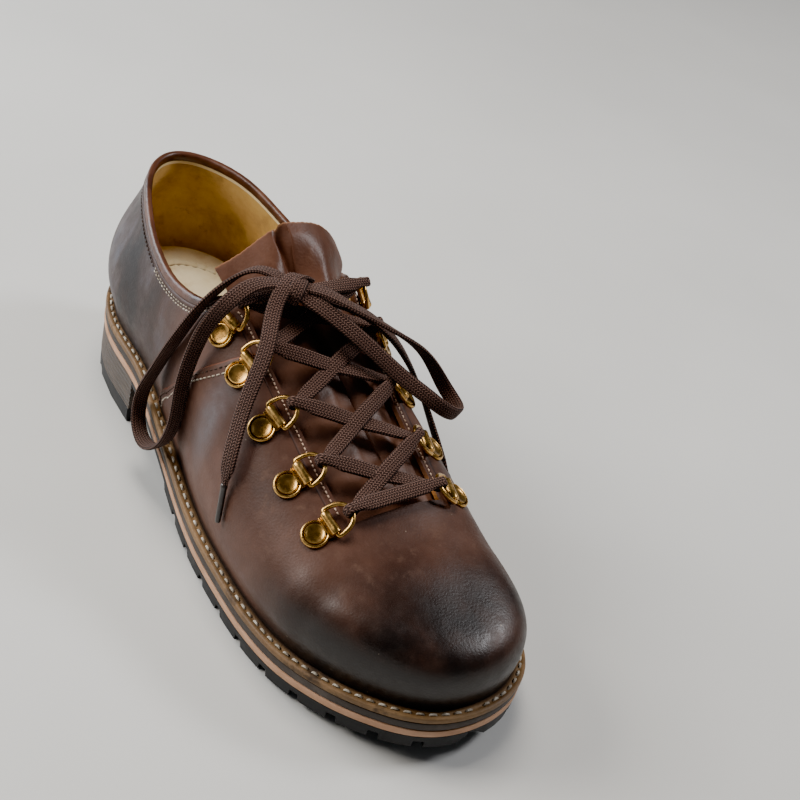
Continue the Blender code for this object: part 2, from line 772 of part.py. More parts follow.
def tongue():
    """The bellows tongue: a thin sheet through the throat, with two long folds and a valley."""
    xs = np.linspace(TONGUE["x"][0], TONGUE["x"][-1], 13)
    across = np.linspace(-1, 1, 15)
    points, faces = [], []
    for x in xs:
        for share in across:
            half = along(TONGUE, "half_lat" if share < 0 else "half_med", x)
            points.append(tongue_point(x, THROAT_Y + share * float(half)))
    width = len(across)
    for i in range(len(xs) - 1):
        for j in range(width - 1):
            a = i * width + j
            faces.append((a, a + width, a + width + 1, a + 1))
    data = mesh_of("tongue", points, faces)
    piece = place("tongue", data, TONGUE_LEATHER)
    sheet = piece.modifiers.new("sheet", "SOLIDIFY")
    sheet.thickness = TONGUE_THICK * MM
    sheet.offset = -1
    data.shade_smooth()
    return piece


tongue()


def evaluated(piece):
    """The mesh of an object with its modifiers applied."""
    graph = bpy.context.evaluated_depsgraph_get()
    return bpy.data.meshes.new_from_object(piece.evaluated_get(graph))


def helper(name, form):
    """A mesh object that only cuts or joins, from a bmesh in millimetres."""
    bmesh.ops.scale(form, vec=(MM, MM, MM), verts=form.verts)
    bmesh.ops.recalc_face_normals(form, faces=form.faces)
    data = bpy.data.meshes.new(name)
    form.to_mesh(data)
    form.free()
    piece = bpy.data.objects.new(name, data)
    piece.hide_render = True
    piece.display_type = "WIRE"
    cutters.objects.link(piece)
    return piece


def boolean(piece, other, operation):
    step = piece.modifiers.new(other.name, "BOOLEAN")
    step.object = other
    step.operation = operation
    step.solver = "EXACT"


def prism(outline_points, low, high):
    """A flat outline raised from low to high."""
    form = bmesh.new()
    face = form.faces.new([form.verts.new((x, y, low)) for x, y in outline_points])
    grown = bmesh.ops.extrude_face_region(form, geom=[face])
    raised = [item for item in grown["geom"] if isinstance(item, bmesh.types.BMVert)]
    bmesh.ops.translate(form, vec=(0, 0, high - low), verts=raised)
    return form


def bar(radius, length, segments, centre):
    """A round bar along local y."""
    form = bmesh.new()
    bmesh.ops.create_cone(
        form, cap_ends=True, segments=segments, radius1=radius, radius2=radius, depth=length,
        matrix=Matrix.Translation(centre) @ Matrix.Rotation(math.pi / 2, 4, "X"),
    )
    return form


def clip_mesh():
    """A clip in its own frame: x to the throat, y along the edge, z off the leather."""
    turn = np.linspace(math.radians(70), math.radians(290), 8)
    half = CLIP_WIDE / 2
    bow = [(RIVET_AT + CLIP_ROUND * math.cos(a), CLIP_ROUND * math.sin(a)) for a in turn]
    edge = [(TUBE_AT, half), *bow, (TUBE_AT, -half)]
    plate = helper("clip_plate", prism(edge, GAP, GAP + CLIP_THICK))
    height = GAP + TUBE_R
    roll = helper("clip_roll", bar(TUBE_R, CLIP_WIDE, 10, (TUBE_AT, 0, height)))
    bore = helper("clip_bore", bar(BORE_R, CLIP_WIDE * 2, 8, (TUBE_AT, 0, height)))
    dome = bmesh.new()
    bmesh.ops.create_uvsphere(dome, u_segments=10, v_segments=6, radius=RIVET_R)
    bmesh.ops.scale(dome, vec=(1, 1, RIVET_FLAT), verts=dome.verts)
    bmesh.ops.translate(dome, vec=(RIVET_AT, 0, GAP + CLIP_THICK), verts=dome.verts)
    bmesh.ops.bisect_plane(
        dome, geom=[*dome.verts, *dome.edges, *dome.faces], plane_co=(0, 0, GAP + 0.5 * CLIP_THICK),
        plane_no=(0, 0, 1), clear_inner=True,
    )
    bmesh.ops.holes_fill(dome, edges=dome.edges)
    rivet = helper("clip_rivet", dome)
    boolean(plate, roll, "UNION")
    boolean(plate, rivet, "UNION")
    boolean(plate, bore, "DIFFERENCE")
    made = evaluated(plate)
    made.name = "clip"
    for piece in (plate, roll, bore, rivet):
        bpy.data.objects.remove(piece)
    return made


def ring_curve():
    """A D-ring in the clip's frame: a straight bar through the roll and an arc that reaches over the throat."""
    turn = np.linspace(-math.pi / 2, math.pi / 2, 11)
    reach = RING_REACH * np.cos(turn).clip(0) ** 0.75
    points = np.column_stack(
        [
            TUBE_AT + reach * math.cos(RING_LIFT),
            RING_HALF * np.sin(turn),
            GAP + TUBE_R + reach * math.sin(RING_LIFT),
        ]
    )
    return tube("ring", points, RING_WIRE, 1, True)


def hook_frame(x, side):
    """Where a clip sits on the leather, as a 4x4 matrix in millimetres."""
    point, normal, inward, edge = upper_frame(psi_at(x), side, HOOK_ROW)
    lapped = x > seam_x(HOOK_ROW)
    frame = np.eye(4)
    frame[:3, 0] = inward
    frame[:3, 1] = edge
    frame[:3, 2] = normal
    frame[:3, 3] = point + normal * leather_at(x, HOOK_ROW, lapped)
    return frame


HOOKS = {(i + 1, side): hook_frame(x, side) for i, x in enumerate(HOOK_X[::-1]) for side in SIDES}
CLIP = clip_mesh()
RING = ring_curve()
for (number, side), frame in HOOKS.items():
    tag = ("lat" if side < 0 else "med") + f"_{number}"
    scaled = frame.copy()
    scaled[:3, 3] *= MM
    matrix = Matrix(scaled.tolist())
    place(f"clip_{tag}", CLIP, BRASS, matrix)
    place(f"ring_{tag}", RING, BRASS, matrix)


def ring_tip(number, side):
    """The middle of a ring's arc and the ring's own up direction."""
    frame = HOOKS[number, side]
    local = (
        TUBE_AT + RING_REACH * math.cos(RING_LIFT),
        0,
        GAP + TUBE_R + RING_REACH * math.sin(RING_LIFT),
    )
    return frame[:3, :3] @ np.array(local) + frame[:3, 3], frame[:3, 2]


def ribbon(path, flat, wide=LACE_WIDE, thick=LACE_THICK):
    """A flat lace along a path as a bmesh in millimetres; flat is its up direction at each point."""
    form = bmesh.new()
    run = np.gradient(path, axis=0)
    run /= np.linalg.norm(run, axis=1, keepdims=True)
    rings = []
    for point, way, up in zip(path, run, flat):
        up = up - way * up.dot(way)
        up = up / np.linalg.norm(up)
        across = np.cross(way, up)
        corners = ((-1, -1), (1, -1), (1, 1), (-1, 1))
        rings.append([form.verts.new(point + across * a * wide / 2 + up * b * thick / 2) for a, b in corners])
    for one, two in zip(rings[:-1], rings[1:]):
        for k in range(4):
            form.faces.new((one[k], one[(k + 1) % 4], two[(k + 1) % 4], two[k]))
    form.faces.new(rings[0][::-1])
    form.faces.new(rings[-1])
    return form


def lace_run(start, end, start_lift, end_lift, arch, steps=7):
    """A stretch from one ring to another: it leaves under or over the ring and arches over the tongue."""
    a, up_a = ring_tip(*start)
    b, up_b = ring_tip(*end)
    a = a + up_a * start_lift
    b = b + up_b * end_lift
    way = (b - a) / np.linalg.norm(b - a)
    a, b = a + way * LACE_OFF_RING, b - way * LACE_OFF_RING
    t = np.linspace(0, 1, steps)[:, None]
    path = a + (b - a) * t + UP * arch * 4 * t * (1 - t)
    return ribbon(path, up_a * (1 - t) + up_b * t)


def lace_to_knot(number, side, target):
    """The last stretch on each side, from over its ring into the knot."""
    a, up_a = ring_tip(number, side)
    a = a + up_a * (OVER + 1.2)
    b = KNOT + target
    way = (b - a) / np.linalg.norm(b - a)
    t = np.linspace(0, 1, 4)[:, None]
    return ribbon(a + way * LACE_OFF_RING + (b - a - way * LACE_OFF_RING) * t, up_a * (1 - t) + UP * t)


def joined(name, forms, look):
    """Shapes joined into one part."""
    pieces = [helper(f"{name}_{i}", form) for i, form in enumerate(forms)]
    for other in pieces[1:]:
        boolean(pieces[0], other, "UNION")
    made = evaluated(pieces[0])
    made.name = name
    for piece in pieces:
        bpy.data.objects.remove(piece)
    return place(name, made, look)


UNDER = -1.6
OVER = 1.6
joined("lace_bar", [lace_run((5, LATERAL), (5, MEDIAL), OVER + 0.3, OVER + 0.3, 3.0)], LACE)
for number in (5, 4, 3, 2):
    arrive, arch = (OVER, 4.0) if number > 2 else (UNDER, 2.0)
    runs = [
        lace_run((number, LATERAL), (number - 1, MEDIAL), UNDER, arrive, arch),
        lace_run((number, MEDIAL), (number - 1, LATERAL), UNDER, arrive, arch - 0.6),
    ]
    joined(f"lace_cross_{6 - number}", runs, LACE)


def knot():
    """The knot over the top crossing, with the two stretches that come up to it."""
    ball = bmesh.new()
    bmesh.ops.create_uvsphere(ball, u_segments=10, v_segments=7, radius=1)
    bmesh.ops.scale(ball, vec=KNOT_HALF, verts=ball.verts)
    bmesh.ops.translate(ball, vec=KNOT, verts=ball.verts)
    lateral = lace_to_knot(1, LATERAL, np.array([-1.0, -3.0, -2.0]))
    medial = lace_to_knot(1, MEDIAL, np.array([-2.5, 3.0, -0.5]))
    return joined("lace_knot", [ball, lateral, medial], LACE)


knot()


def at_knot(way, off=2.0):
    """A point off the knot's face in a direction."""
    way = np.array(way) / np.linalg.norm(way)
    return KNOT + way * (1 / np.linalg.norm(way / KNOT_HALF) + off)


def smooth(points, step):
    """Points at equal steps along a smooth curve through the given ones."""
    points = np.asarray(points, float)
    run = np.concatenate([[0], np.cumsum(np.linalg.norm(np.diff(points, axis=0), axis=1) ** 0.5)])
    route = {"x": run, "0": points[:, 0], "1": points[:, 1], "2": points[:, 2]}
    fine = np.linspace(0, run[-1], 400)
    line = np.column_stack([along(route, axis, fine) for axis in "012"])
    length = np.concatenate([[0], np.cumsum(np.linalg.norm(np.diff(line, axis=0), axis=1))])
    marks = np.linspace(0, length[-1], max(2, round(length[-1] / step) + 1))
    return np.column_stack([np.interp(marks, length, line[:, i]) for i in range(3)])


def route(tab):
    return np.column_stack([tab["x"], tab["y"], tab["z"]])


def cord(name, points):
    path = smooth(points, CORD_STEP)
    place(name, tube(name, path, LACE_CORD_R), LACE)
    return path


def aglet(name, path):
    """The hard tip that goes on where a cord ends."""
    way = path[-1] - path[-2]
    way /= np.linalg.norm(way)
    start = path[-1] + way * GAP
    place(name, tube(name, [start, start + way * AGLET_LONG], AGLET_R), AGLET)


cord("lace_loop_lat", [at_knot((-0.9, -0.25, 0.3)), *route(LATERAL_LOOP), at_knot((-0.55, -0.8, 0.15))])
cord("lace_loop_med", [at_knot((0.85, 0.5, 0.1)), *route(MEDIAL_LOOP), at_knot((0.1, 0.93, 0.35))])
aglet("aglet_lat", cord("lace_end_lat", [at_knot((0.6, -0.75, -0.25), 1.1), *route(LATERAL_END)]))
aglet("aglet_med", cord("lace_end_med", [at_knot((0.25, 0.85, -0.35)), *route(MEDIAL_END)]))
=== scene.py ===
"""Haferl shoe for the right foot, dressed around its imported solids.

Sizes are millimetres in the shoe's own drawing: x runs from the back of the heel to the toe, y toward
the inner side of the foot and z up from the floor. put() moves a mesh from there into the frame.
"""

import math

import bmesh
import bpy
import numpy as np
from mathutils import Matrix


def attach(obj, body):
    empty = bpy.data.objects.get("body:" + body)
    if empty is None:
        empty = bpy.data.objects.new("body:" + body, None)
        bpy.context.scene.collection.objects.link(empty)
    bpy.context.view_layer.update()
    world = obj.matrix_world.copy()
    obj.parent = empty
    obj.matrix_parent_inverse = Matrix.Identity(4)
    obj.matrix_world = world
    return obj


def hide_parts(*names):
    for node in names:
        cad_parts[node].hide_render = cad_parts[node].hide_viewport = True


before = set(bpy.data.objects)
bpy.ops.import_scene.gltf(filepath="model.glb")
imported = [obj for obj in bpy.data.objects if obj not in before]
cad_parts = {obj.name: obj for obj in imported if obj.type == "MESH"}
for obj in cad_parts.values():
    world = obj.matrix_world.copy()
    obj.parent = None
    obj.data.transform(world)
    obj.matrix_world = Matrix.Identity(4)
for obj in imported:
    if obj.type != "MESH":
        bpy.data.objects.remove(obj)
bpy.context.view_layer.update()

CAMERA_AT = (0.35764, -0.26957, 0.40268)
CAMERA_AZIMUTH = 47.81
CAMERA_DOWN = 36.32
CAMERA_ROLL = 16.09
CAMERA_LENS = 62.26


def looking(azimuth, down, roll):
    """A camera's axes: forward from azimuth and dip, right level across it, both turned by the roll."""
    a, d, r = (math.radians(v) for v in (azimuth, down, roll))
    forward = np.array([-math.sin(a) * math.cos(d), math.cos(a) * math.cos(d), -math.sin(d)])
    level = np.array([math.cos(a), math.sin(a), 0.0])
    rise = np.cross(level, forward)
    right = level * math.cos(r) + rise * math.sin(r)
    return right, np.cross(right, forward), -forward


def stand(thing, place, axes):
    """Put a camera or lamp at a place with its own x, y and z axes."""
    turned = np.eye(4)
    turned[:3, :3] = np.column_stack(axes)
    turned[:3, 3] = place
    thing.matrix_world = Matrix(turned.tolist())
    bpy.context.scene.collection.objects.link(thing)


eye = bpy.data.cameras.new("photo_camera")
eye.lens = CAMERA_LENS
eye.sensor_width = 36.0
eye.clip_start = 0.01
camera = bpy.data.objects.new("photo_camera", eye)
stand(camera, CAMERA_AT, looking(CAMERA_AZIMUTH, CAMERA_DOWN, CAMERA_ROLL))
bpy.context.scene.camera = camera
bpy.context.scene.view_settings.view_transform = "AgX"
bpy.context.scene.view_settings.look = "AgX - Punchy"

# The studio: soft lamps on the outer side, low behind the heel, beyond the toe and overhead, and a pale
# matt floor. Each lamp is a square cloth of light that faces the shoe; the overhead one fills the inside.
LAMPS = {
    "key_lamp": ((-0.65, -0.84, 0.83), 0.60, 29.0, (1.0, 0.96, 0.90)),
    "heel_lamp": ((-1.00, -0.55, 0.40), 0.60, 15.0, (0.78, 0.89, 1.0)),
    "toe_lamp": ((0.30, 0.80, 0.92), 0.26, 13.0, (0.96, 0.97, 1.0)),
    "fill_lamp": ((-0.30, 0.00, 1.30), 0.50, 24.0, (1.0, 0.95, 0.88)),
}
LAMP_AIM = np.array([0.0, 0.0, 0.04])
SKY_LIGHT = 0.16


def facing(place, aim):
    """Axes of a lamp that shines from place to aim along its own -z."""
    back = np.asarray(place, float) - aim
    back /= np.linalg.norm(back)
    right = np.cross([0.0, 0.0, 1.0], back)
    right /= np.linalg.norm(right)
    return right, np.cross(back, right), back


for lamp_name, (lamp_at, lamp_size, lamp_watts, lamp_tint) in LAMPS.items():
    cloth = bpy.data.lights.new(lamp_name, "AREA")
    cloth.size = lamp_size
    cloth.energy = lamp_watts
    cloth.color = lamp_tint
    lamp = bpy.data.objects.new(lamp_name, cloth)
    lamp.visible_glossy = lamp_name != "fill_lamp"
    stand(lamp, lamp_at, facing(lamp_at, LAMP_AIM))

sky = bpy.data.worlds.new("studio_sky")
sky.use_nodes = True
sky.node_tree.nodes["Background"].inputs["Color"].default_value = (0.90, 0.94, 1.0, 1)
sky.node_tree.nodes["Background"].inputs["Strength"].default_value = SKY_LIGHT
bpy.context.scene.world = sky


class Finish:
    """A procedural finish: shader nodes that read the piece's own place and the marks on its mesh."""

    def __init__(self, name, sockets=None):
        self.made = bpy.data.materials.new(name)
        self.made.use_nodes = True
        self.tree = self.made.node_tree
        self.shader = self.tree.nodes["Principled BSDF"]
        self.where = self.node("TexCoord").outputs["Object"]
        self.bump = None
        for socket, value in (sockets or {}).items():
            self.shader.inputs[socket].default_value = value

    def node(self, kind, inputs=None, **settings):
        """One node; an input is a number, a colour, or another node's output."""
        made = self.tree.nodes.new("ShaderNode" + kind)
        for key, value in settings.items():
            setattr(made, key, value)
        for socket, value in (inputs or {}).items():
            if isinstance(value, bpy.types.NodeSocket):
                self.tree.links.new(value, made.inputs[socket])
            else:
                made.inputs[socket].default_value = value
        return made

    def mark(self, name):
        """A number that the mesh carries at each point."""
        return self.node("Attribute", attribute_name=name).outputs["Fac"]

    def placed(self, stretch):
        """The piece's own coordinates, scaled by axis."""
        return self.node("Mapping", {"Vector": self.where, "Scale": stretch}).outputs["Vector"]

    def noise(self, scale, detail=3.0, rough=0.55, stretch=(1, 1, 1), twist=0.0):
        """Cloudy noise from 0 to 1; scale counts its lumps in a metre."""
        inputs = {
            "Vector": self.placed(stretch), "Scale": scale, "Detail": detail, "Roughness": rough,
            "Distortion": twist,
        }
        return self.node("TexNoise", inputs).outputs[0]

    def cells(self, scale, kind="SMOOTH_F1", stretch=(1, 1, 1)):
        """Distance from the middle of rounded cells; scale counts them in a metre."""
        inputs = {"Vector": self.placed(stretch), "Scale": scale}
        return self.node("TexVoronoi", inputs, feature=kind).outputs["Distance"]

    def spot(self, middle, reach):
        """1 at a place on the piece, fading to 0 at reach from it; both in the piece's metres by axis."""
        reach = np.array(reach)
        inputs = {"Vector": self.where, "Scale": 1 / reach, "Location": -np.array(middle) / reach}
        off = self.node("Mapping", inputs).outputs["Vector"]
        return self.band(self.node("VectorMath", {0: off}, operation="LENGTH").outputs["Value"], 1.0, 0.0)

    def calc(self, operation, *values):
        """A sum, product or other step on numbers."""
        inputs = dict(enumerate(values))
        return self.node("Math", inputs, operation=operation).outputs[0]

    def both(self, first, second):
        """The product of two shares."""
        return self.calc("MULTIPLY", first, second)

    def band(self, value, low, high, to_low=0.0, to_high=1.0):
        """A smooth step: to_low where value is low, to_high where it is high."""
        inputs = {"Value": value, 1: low, 2: high, 3: to_low, 4: to_high}
        return self.node("MapRange", inputs, interpolation_type="SMOOTHSTEP").outputs[0]

    def ramp(self, value, *stops):
        """A colour that goes through stops of (value, red, green, blue)."""
        made = self.node("ValToRGB", {"Fac": value})
        while len(made.color_ramp.elements) < len(stops):
            made.color_ramp.elements.new(0.5)
        for element, (at, *colour) in zip(made.color_ramp.elements, stops):
            element.position = at
            element.color = (*colour, 1)
        return made.outputs["Color"]

    def mix(self, share, first, second, blend="MIX"):
        """Two colours mixed by share; a plain colour is a tuple."""
        pair = [(*value, 1) if isinstance(value, tuple) else value for value in (first, second)]
        made = self.node("Mix", {0: share, 6: pair[0], 7: pair[1]}, data_type="RGBA", blend_type=blend)
        return made.outputs[2]

    def relief(self, height, deep):
        """Bump by a height from 0 to 1 that stands for deep millimetres; reliefs add up."""
        inputs = {"Height": height, "Strength": 1.0, "Distance": deep * 0.001}
        if self.bump is not None:
            inputs["Normal"] = self.bump
        self.bump = self.node("Bump", inputs).outputs["Normal"]

    def finish(self, colour, rough, shine=None):
        """Join colour, roughness, relief and perhaps shine to the shader."""
        self.tree.links.new(colour, self.shader.inputs["Base Color"])
        self.tree.links.new(rough, self.shader.inputs["Roughness"])
        if self.bump is not None:
            self.tree.links.new(self.bump, self.shader.inputs["Normal"])
        if shine is not None:
            self.tree.links.new(shine, self.shader.inputs["Specular IOR Level"])
        return self.made


floor_look = Finish("floor_paint")
floor_cloud = floor_look.noise(3.0, 4.0)
floor_look.relief(floor_look.noise(420.0, 4.0), 0.05)
FLOOR_PAINT = floor_look.finish(
    floor_look.ramp(floor_cloud, (0.35, 0.54, 0.535, 0.52), (0.65, 0.59, 0.585, 0.57)),
    floor_look.band(floor_cloud, 0.3, 0.7, 0.75, 0.85),
)
floor_mesh = bpy.data.meshes.new("studio_floor")
floor_mesh.from_pydata([(-4, -4, 0), (4, -4, 0), (4, 4, 0), (-4, 4, 0)], [], [(0, 1, 2, 3)])
floor_mesh.materials.append(FLOOR_PAINT)
floor = bpy.data.objects.new("studio_floor", floor_mesh)
bpy.context.scene.collection.objects.link(floor)

# The top lift and the outsole are black moulded rubber with square lugs, glued under the heel stack and
# under the layers. The outline of the whole shoe is drawn here: half widths at stations along it.
MM = 0.001
ORIGIN = np.array([141.25, -1.9, 0.0])
GAP = 0.3
LATERAL, MEDIAL = -1, 1
SIDES = (LATERAL, MEDIAL)
UP = np.array([0.0, 0.0, 1.0])
LENGTH = 284.0
HEEL_RADIUS, TOE_RADIUS = 35.0, 52.0
TIP_SHIFT = 4.0
FOREFOOT_STACK = 16.5
HEEL_RISE, RISE_FROM, RISE_TO = 18.0, 62.0, 165.0
TOE_SPRING, SPRING_FROM, SPRING_POWER = 9.0, 200.0, 1.8
WELT_THICK, DARK_THICK, TAN_THICK, OUTSOLE_BASE = 3.0, 3.6, 3.2, 2.4
HEEL_BREAST = 70.0
LIFT_THICK, LIFT_LUG = 7.0, 3.2
LUG_FROM, LUG_PITCH, LUG_NOTCH = 122.0, 17.0, 4.2
LUG_REACH, LUG_GROOVE = 13.0, 4.0
LUG_DRAFT = 0.25


def table(columns, *rows):
    """A short table as one array for each named column."""
    values = np.array(rows, float)
    return {name: values[:, i] for i, name in enumerate(columns.split())}


SOLE = table(
    "x   lateral medial",
    (36, 36.0, 35.5),
    (75, 39.0, 34.5),
    (110, 43.5, 32.5),
    (145, 48.5, 37.0),
    (180, 51.5, 45.0),
    (206, 51.5, 48.0),
    (228, 48.5, 48.0),
    (248, 41.0, 46.3),
    (267, 29.0, 38.3),
)


def along(tab, column, x, by="x"):
    """A column of a table at x, by a cubic through its rows."""
    xs, ys = tab[by], tab[column]
    x = np.clip(np.asarray(x, float), xs[0], xs[-1])
    slope = np.gradient(ys, xs)
    i = np.clip(np.searchsorted(xs, x, side="right") - 1, 0, len(xs) - 2)
    step = xs[i + 1] - xs[i]
    t = (x - xs[i]) / step
    start = (2 * t**3 - 3 * t**2 + 1) * ys[i] + (t**3 - 2 * t**2 + t) * step * slope[i]
    end = (3 * t**2 - 2 * t**3) * ys[i + 1] + (t**3 - t**2) * step * slope[i + 1]
    return start + end


def ease(low, high, x):
    """0 below low, 1 above high, with a smooth rise between."""
    t = np.clip((np.asarray(x, float) - low) / (high - low), 0, 1)
    return t * t * (3 - 2 * t)


def psi_at(x):
    """The outline's angle at x: 0 at the back of the heel, pi at the toe tip."""
    return np.arccos(np.clip(1 - 2 * np.asarray(x, float) / LENGTH, -1, 1))


def station(psi):
    """The outline's x at an angle."""
    return LENGTH / 2 * (1 - np.cos(psi))


def axis_y(x):
    """The sole's middle line, which leans to the inner side at the toe."""
    return TIP_SHIFT * ease(150, LENGTH, x)


def outline_of(side):
    """The half width of the outline over the sine of its angle, as a table by angle."""
    inner = psi_at(SOLE["x"])
    half = SOLE["lateral" if side < 0 else "medial"] - side * axis_y(SOLE["x"])
    ends = [math.sqrt(radius * LENGTH / 2) for radius in (HEEL_RADIUS, TOE_RADIUS)]
    ratio = np.concatenate([[ends[0]], half / np.sin(inner), [ends[1]]])
    return {"x": np.concatenate([[0.0], inner, [math.pi]]), "ratio": ratio}


OUTLINE = {side: outline_of(side) for side in SIDES}


def outline(psi, side):
    """y = axis + side * sin(psi) * ratio(psi), x = length/2 * (1 - cos(psi))."""
    x = station(psi)
    y = axis_y(x) + side * np.sin(psi) * along(OUTLINE[side], "ratio", psi)
    return np.stack([x, y], -1)


def sole_edge(psi, side, inset):
    """The outline moved in by inset, and its outward direction in plan."""
    psi = np.asarray(psi, float)
    run = outline(psi + 1e-3, side) - outline(psi - 1e-3, side)
    out = np.stack([run[..., 1], -run[..., 0]], -1) * -side
    out = out / np.linalg.norm(out, axis=-1, keepdims=True)
    inset = np.broadcast_to(np.asarray(inset, float), psi.shape)
    return outline(psi, side) - out * inset[..., None], out


def tread_z(x):
    """The bottom of the tread: flat under the ball, up at the toe and up to the heel seat at the waist."""
    x = np.asarray(x, float)
    spring = TOE_SPRING * np.clip((x - SPRING_FROM) / (LENGTH - SPRING_FROM), 0, 1) ** SPRING_POWER
    return spring + HEEL_RISE * (1 - ease(RISE_FROM, RISE_TO, x))


def seat_z(x):
    """The top face of the welt."""
    return FOREFOOT_STACK + tread_z(x)


def put(name, points, faces, look, slot, nodes=(), sharp=None, **marks):
    """A finished piece: points in drawing millimetres, faces as blocks of point numbers.

    Doubles are welded and faces turned out. It rides on the shoe's one body and stands for the nodes.
    """
    mesh = bpy.data.meshes.new(name)
    place = (np.asarray(points, float).reshape(-1, 3) - ORIGIN) * MM
    mesh.from_pydata(place.tolist(), [], [face for block in faces for face in np.asarray(block).tolist()])
    for mark, values in marks.items():
        layer = mesh.attributes.new(mark, "FLOAT", "POINT")
        layer.data.foreach_set("value", np.ravel(values).astype(np.float32))
    form = bmesh.new()
    form.from_mesh(mesh)
    bmesh.ops.remove_doubles(form, verts=form.verts, dist=2e-6)
    bmesh.ops.recalc_face_normals(form, faces=form.faces)
    form.to_mesh(mesh)
    form.free()
    mesh.shade_smooth()
    if sharp is not None:
        mesh.set_sharp_from_angle(angle=math.radians(sharp))
    mesh.materials.append(look)
    piece = bpy.data.objects.new(name, mesh)
    bpy.context.scene.collection.objects.link(piece)
    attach(piece, "root")
    if nodes:
        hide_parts(*nodes)
    return piece


def grid_faces(rows, columns, round_columns=False, first=0):
    """Quads of a grid of points kept row by row; its columns may close into a ring."""
    i = np.arange(rows - 1)[:, None] * columns
    j = np.arange(columns if round_columns else columns - 1)[None, :]
    k = (j + 1) % columns
    return np.stack([i + j, i + columns + j, i + columns + k, i + k], -1).reshape(-1, 4) + first


def soften(piece, width, angle=35):
    """A small round on a piece's edges."""
    worn = piece.modifiers.new("worn_edges", "BEVEL")
    worn.width = width * MM
    worn.segments = 2
    worn.angle_limit = math.radians(angle)
    worn.harden_normals = False


def treaded(psi, lugs, top, base, foot):
    """A slab with lugs: a closed profile across the sole, carried along it from the straight end.

    The profile runs along the underside and back over the top. A point of the underside lies on foot(x)
    where its station and its strip are both on a lug, and on base(x) elsewhere.
    """
    end = LUG_REACH + LUG_GROOVE
    insets = np.array([0.3, 0.3 + LUG_DRAFT, LUG_REACH, LUG_REACH + LUG_DRAFT, end, end + LUG_DRAFT])
    strips = np.array([0, 1, 1, 0, 0, 1])
    rows = [sole_edge(psi, LATERAL, inset)[0] for inset in insets]
    rows += [sole_edge(psi, MEDIAL, inset)[0] for inset in insets[::-1]]
    plan = np.stack(rows, 1)
    plan[0, :, 0] = station(psi[0])
    deep = np.outer(lugs, np.concatenate([strips, strips[::-1]])) > 0.5
    deep[:, [0, -1]] = False
    x = plan[..., 0]
    under = np.concatenate([plan, np.where(deep, foot(x), base(x))[..., None]], -1)
    over = np.concatenate([plan, top(x)[..., None]], -1)[:, [-1, 0]]
    points = np.concatenate([under, over], 1)
    count = points.shape[1]
    ends = [np.arange(count)[None], np.arange(count)[None] + (len(psi) - 1) * count]
    return points, [grid_faces(len(psi), count, True), *ends]


def lug_stations(marks, draft):
    """Stations in pairs on either side of each lug's wall, and which of them are on a lug."""
    lug = np.arange(len(marks) - 1) % 2 == 0
    starts, ends = marks[:-1], marks[1:]
    way = np.sign(ends - starts)
    within = np.stack([starts + way * draft, 0.5 * (starts + ends), ends - way * draft], 1)
    return within.ravel(), np.repeat(lug, 3)


def measured(path):
    """The distance along a path at each of its points."""
    return np.concatenate([[0], np.cumsum(np.linalg.norm(np.diff(path, axis=0), axis=1))])


rubber_look = Finish("lugged_rubber", {"Specular IOR Level": 0.35})
rubber_dust = rubber_look.noise(55.0, 5.0, 0.6)
rubber_look.relief(rubber_look.noise(1500.0, 3.0), 0.05)
rubber_look.relief(rubber_look.noise(160.0, 3.0), 0.12)
LUGGED_RUBBER = rubber_look.finish(
    rubber_look.ramp(
        rubber_dust, (0.35, 0.0085, 0.0085, 0.0095), (0.62, 0.019, 0.019, 0.020), (0.8, 0.05, 0.048, 0.045)
    ),
    rubber_look.band(rubber_dust, 0.3, 0.75, 0.46, 0.72),
)

DARK_TOP = WELT_THICK
TAN_TOP = DARK_TOP + DARK_THICK + 2 * GAP
OUTSOLE_TOP = TAN_TOP + TAN_THICK + GAP
lift_marks = psi_at(HEEL_BREAST - GAP) + np.array([0.0, 0.33, 0.41, 0.69, 0.77, 1.0]) * (
    0.05 - psi_at(HEEL_BREAST - GAP)
)
lift_psi, lift_lugs = lug_stations(lift_marks, 0.002)
lift_points, lift_faces = treaded(
    lift_psi, lift_lugs, lambda x: LIFT_THICK + 0 * x, lambda x: LIFT_LUG + 0 * x, lambda x: 0 * x
)
soften(put("top_lift_rubber", lift_points, lift_faces, LUGGED_RUBBER, "rubber", ["top_lift"], 30), 0.3)

arc = np.linspace(psi_at(LUG_FROM), math.pi - 0.03, 600)
arc_run = measured(outline(arc, LATERAL))
lug_count = round(arc_run[-1] / LUG_PITCH)
lug_starts = np.arange(lug_count)[:, None] * arc_run[-1] / lug_count
lug_edges = (lug_starts + np.array([0.0, 1 - LUG_NOTCH / LUG_PITCH]) * arc_run[-1] / lug_count).ravel()
lug_psi, lug_on = lug_stations(np.interp(lug_edges, arc_run, arc), 0.0018)
waist_psi = np.linspace(psi_at(HEEL_BREAST + GAP), psi_at(LUG_FROM) - 0.004, 12)
tread_psi = np.concatenate([waist_psi, lug_psi, [math.pi - 0.03]])
tread_lugs = np.concatenate([np.zeros(12), lug_on, [0]])
tread_points, tread_faces = treaded(
    tread_psi,
    tread_lugs,
    lambda x: seat_z(x) - OUTSOLE_TOP,
    lambda x: seat_z(x) - OUTSOLE_TOP - OUTSOLE_BASE,
    tread_z,
)
soften(put("lugged_outsole", tread_points, tread_faces, LUGGED_RUBBER, "rubber", ["outsole"], 30), 0.3)

# The heel stack: thin lifts of grey-brown leather board, glued and pegged, with a groove scored round the
# stack at every joint.
HEEL_LAYERS = 7
GROOVE_DEEP = 0.55


def sole_loop(psi, inset, height):
    """The outline at an inset, out along the outer side and back along the inner, at height(x)."""
    edges = [sole_edge(psi, side, inset)[0] for side in SIDES]
    ring = np.concatenate([edges[0], edges[1][::-1]])
    return np.column_stack([ring, height(ring[:, 0]) + 0 * ring[:, 0]])


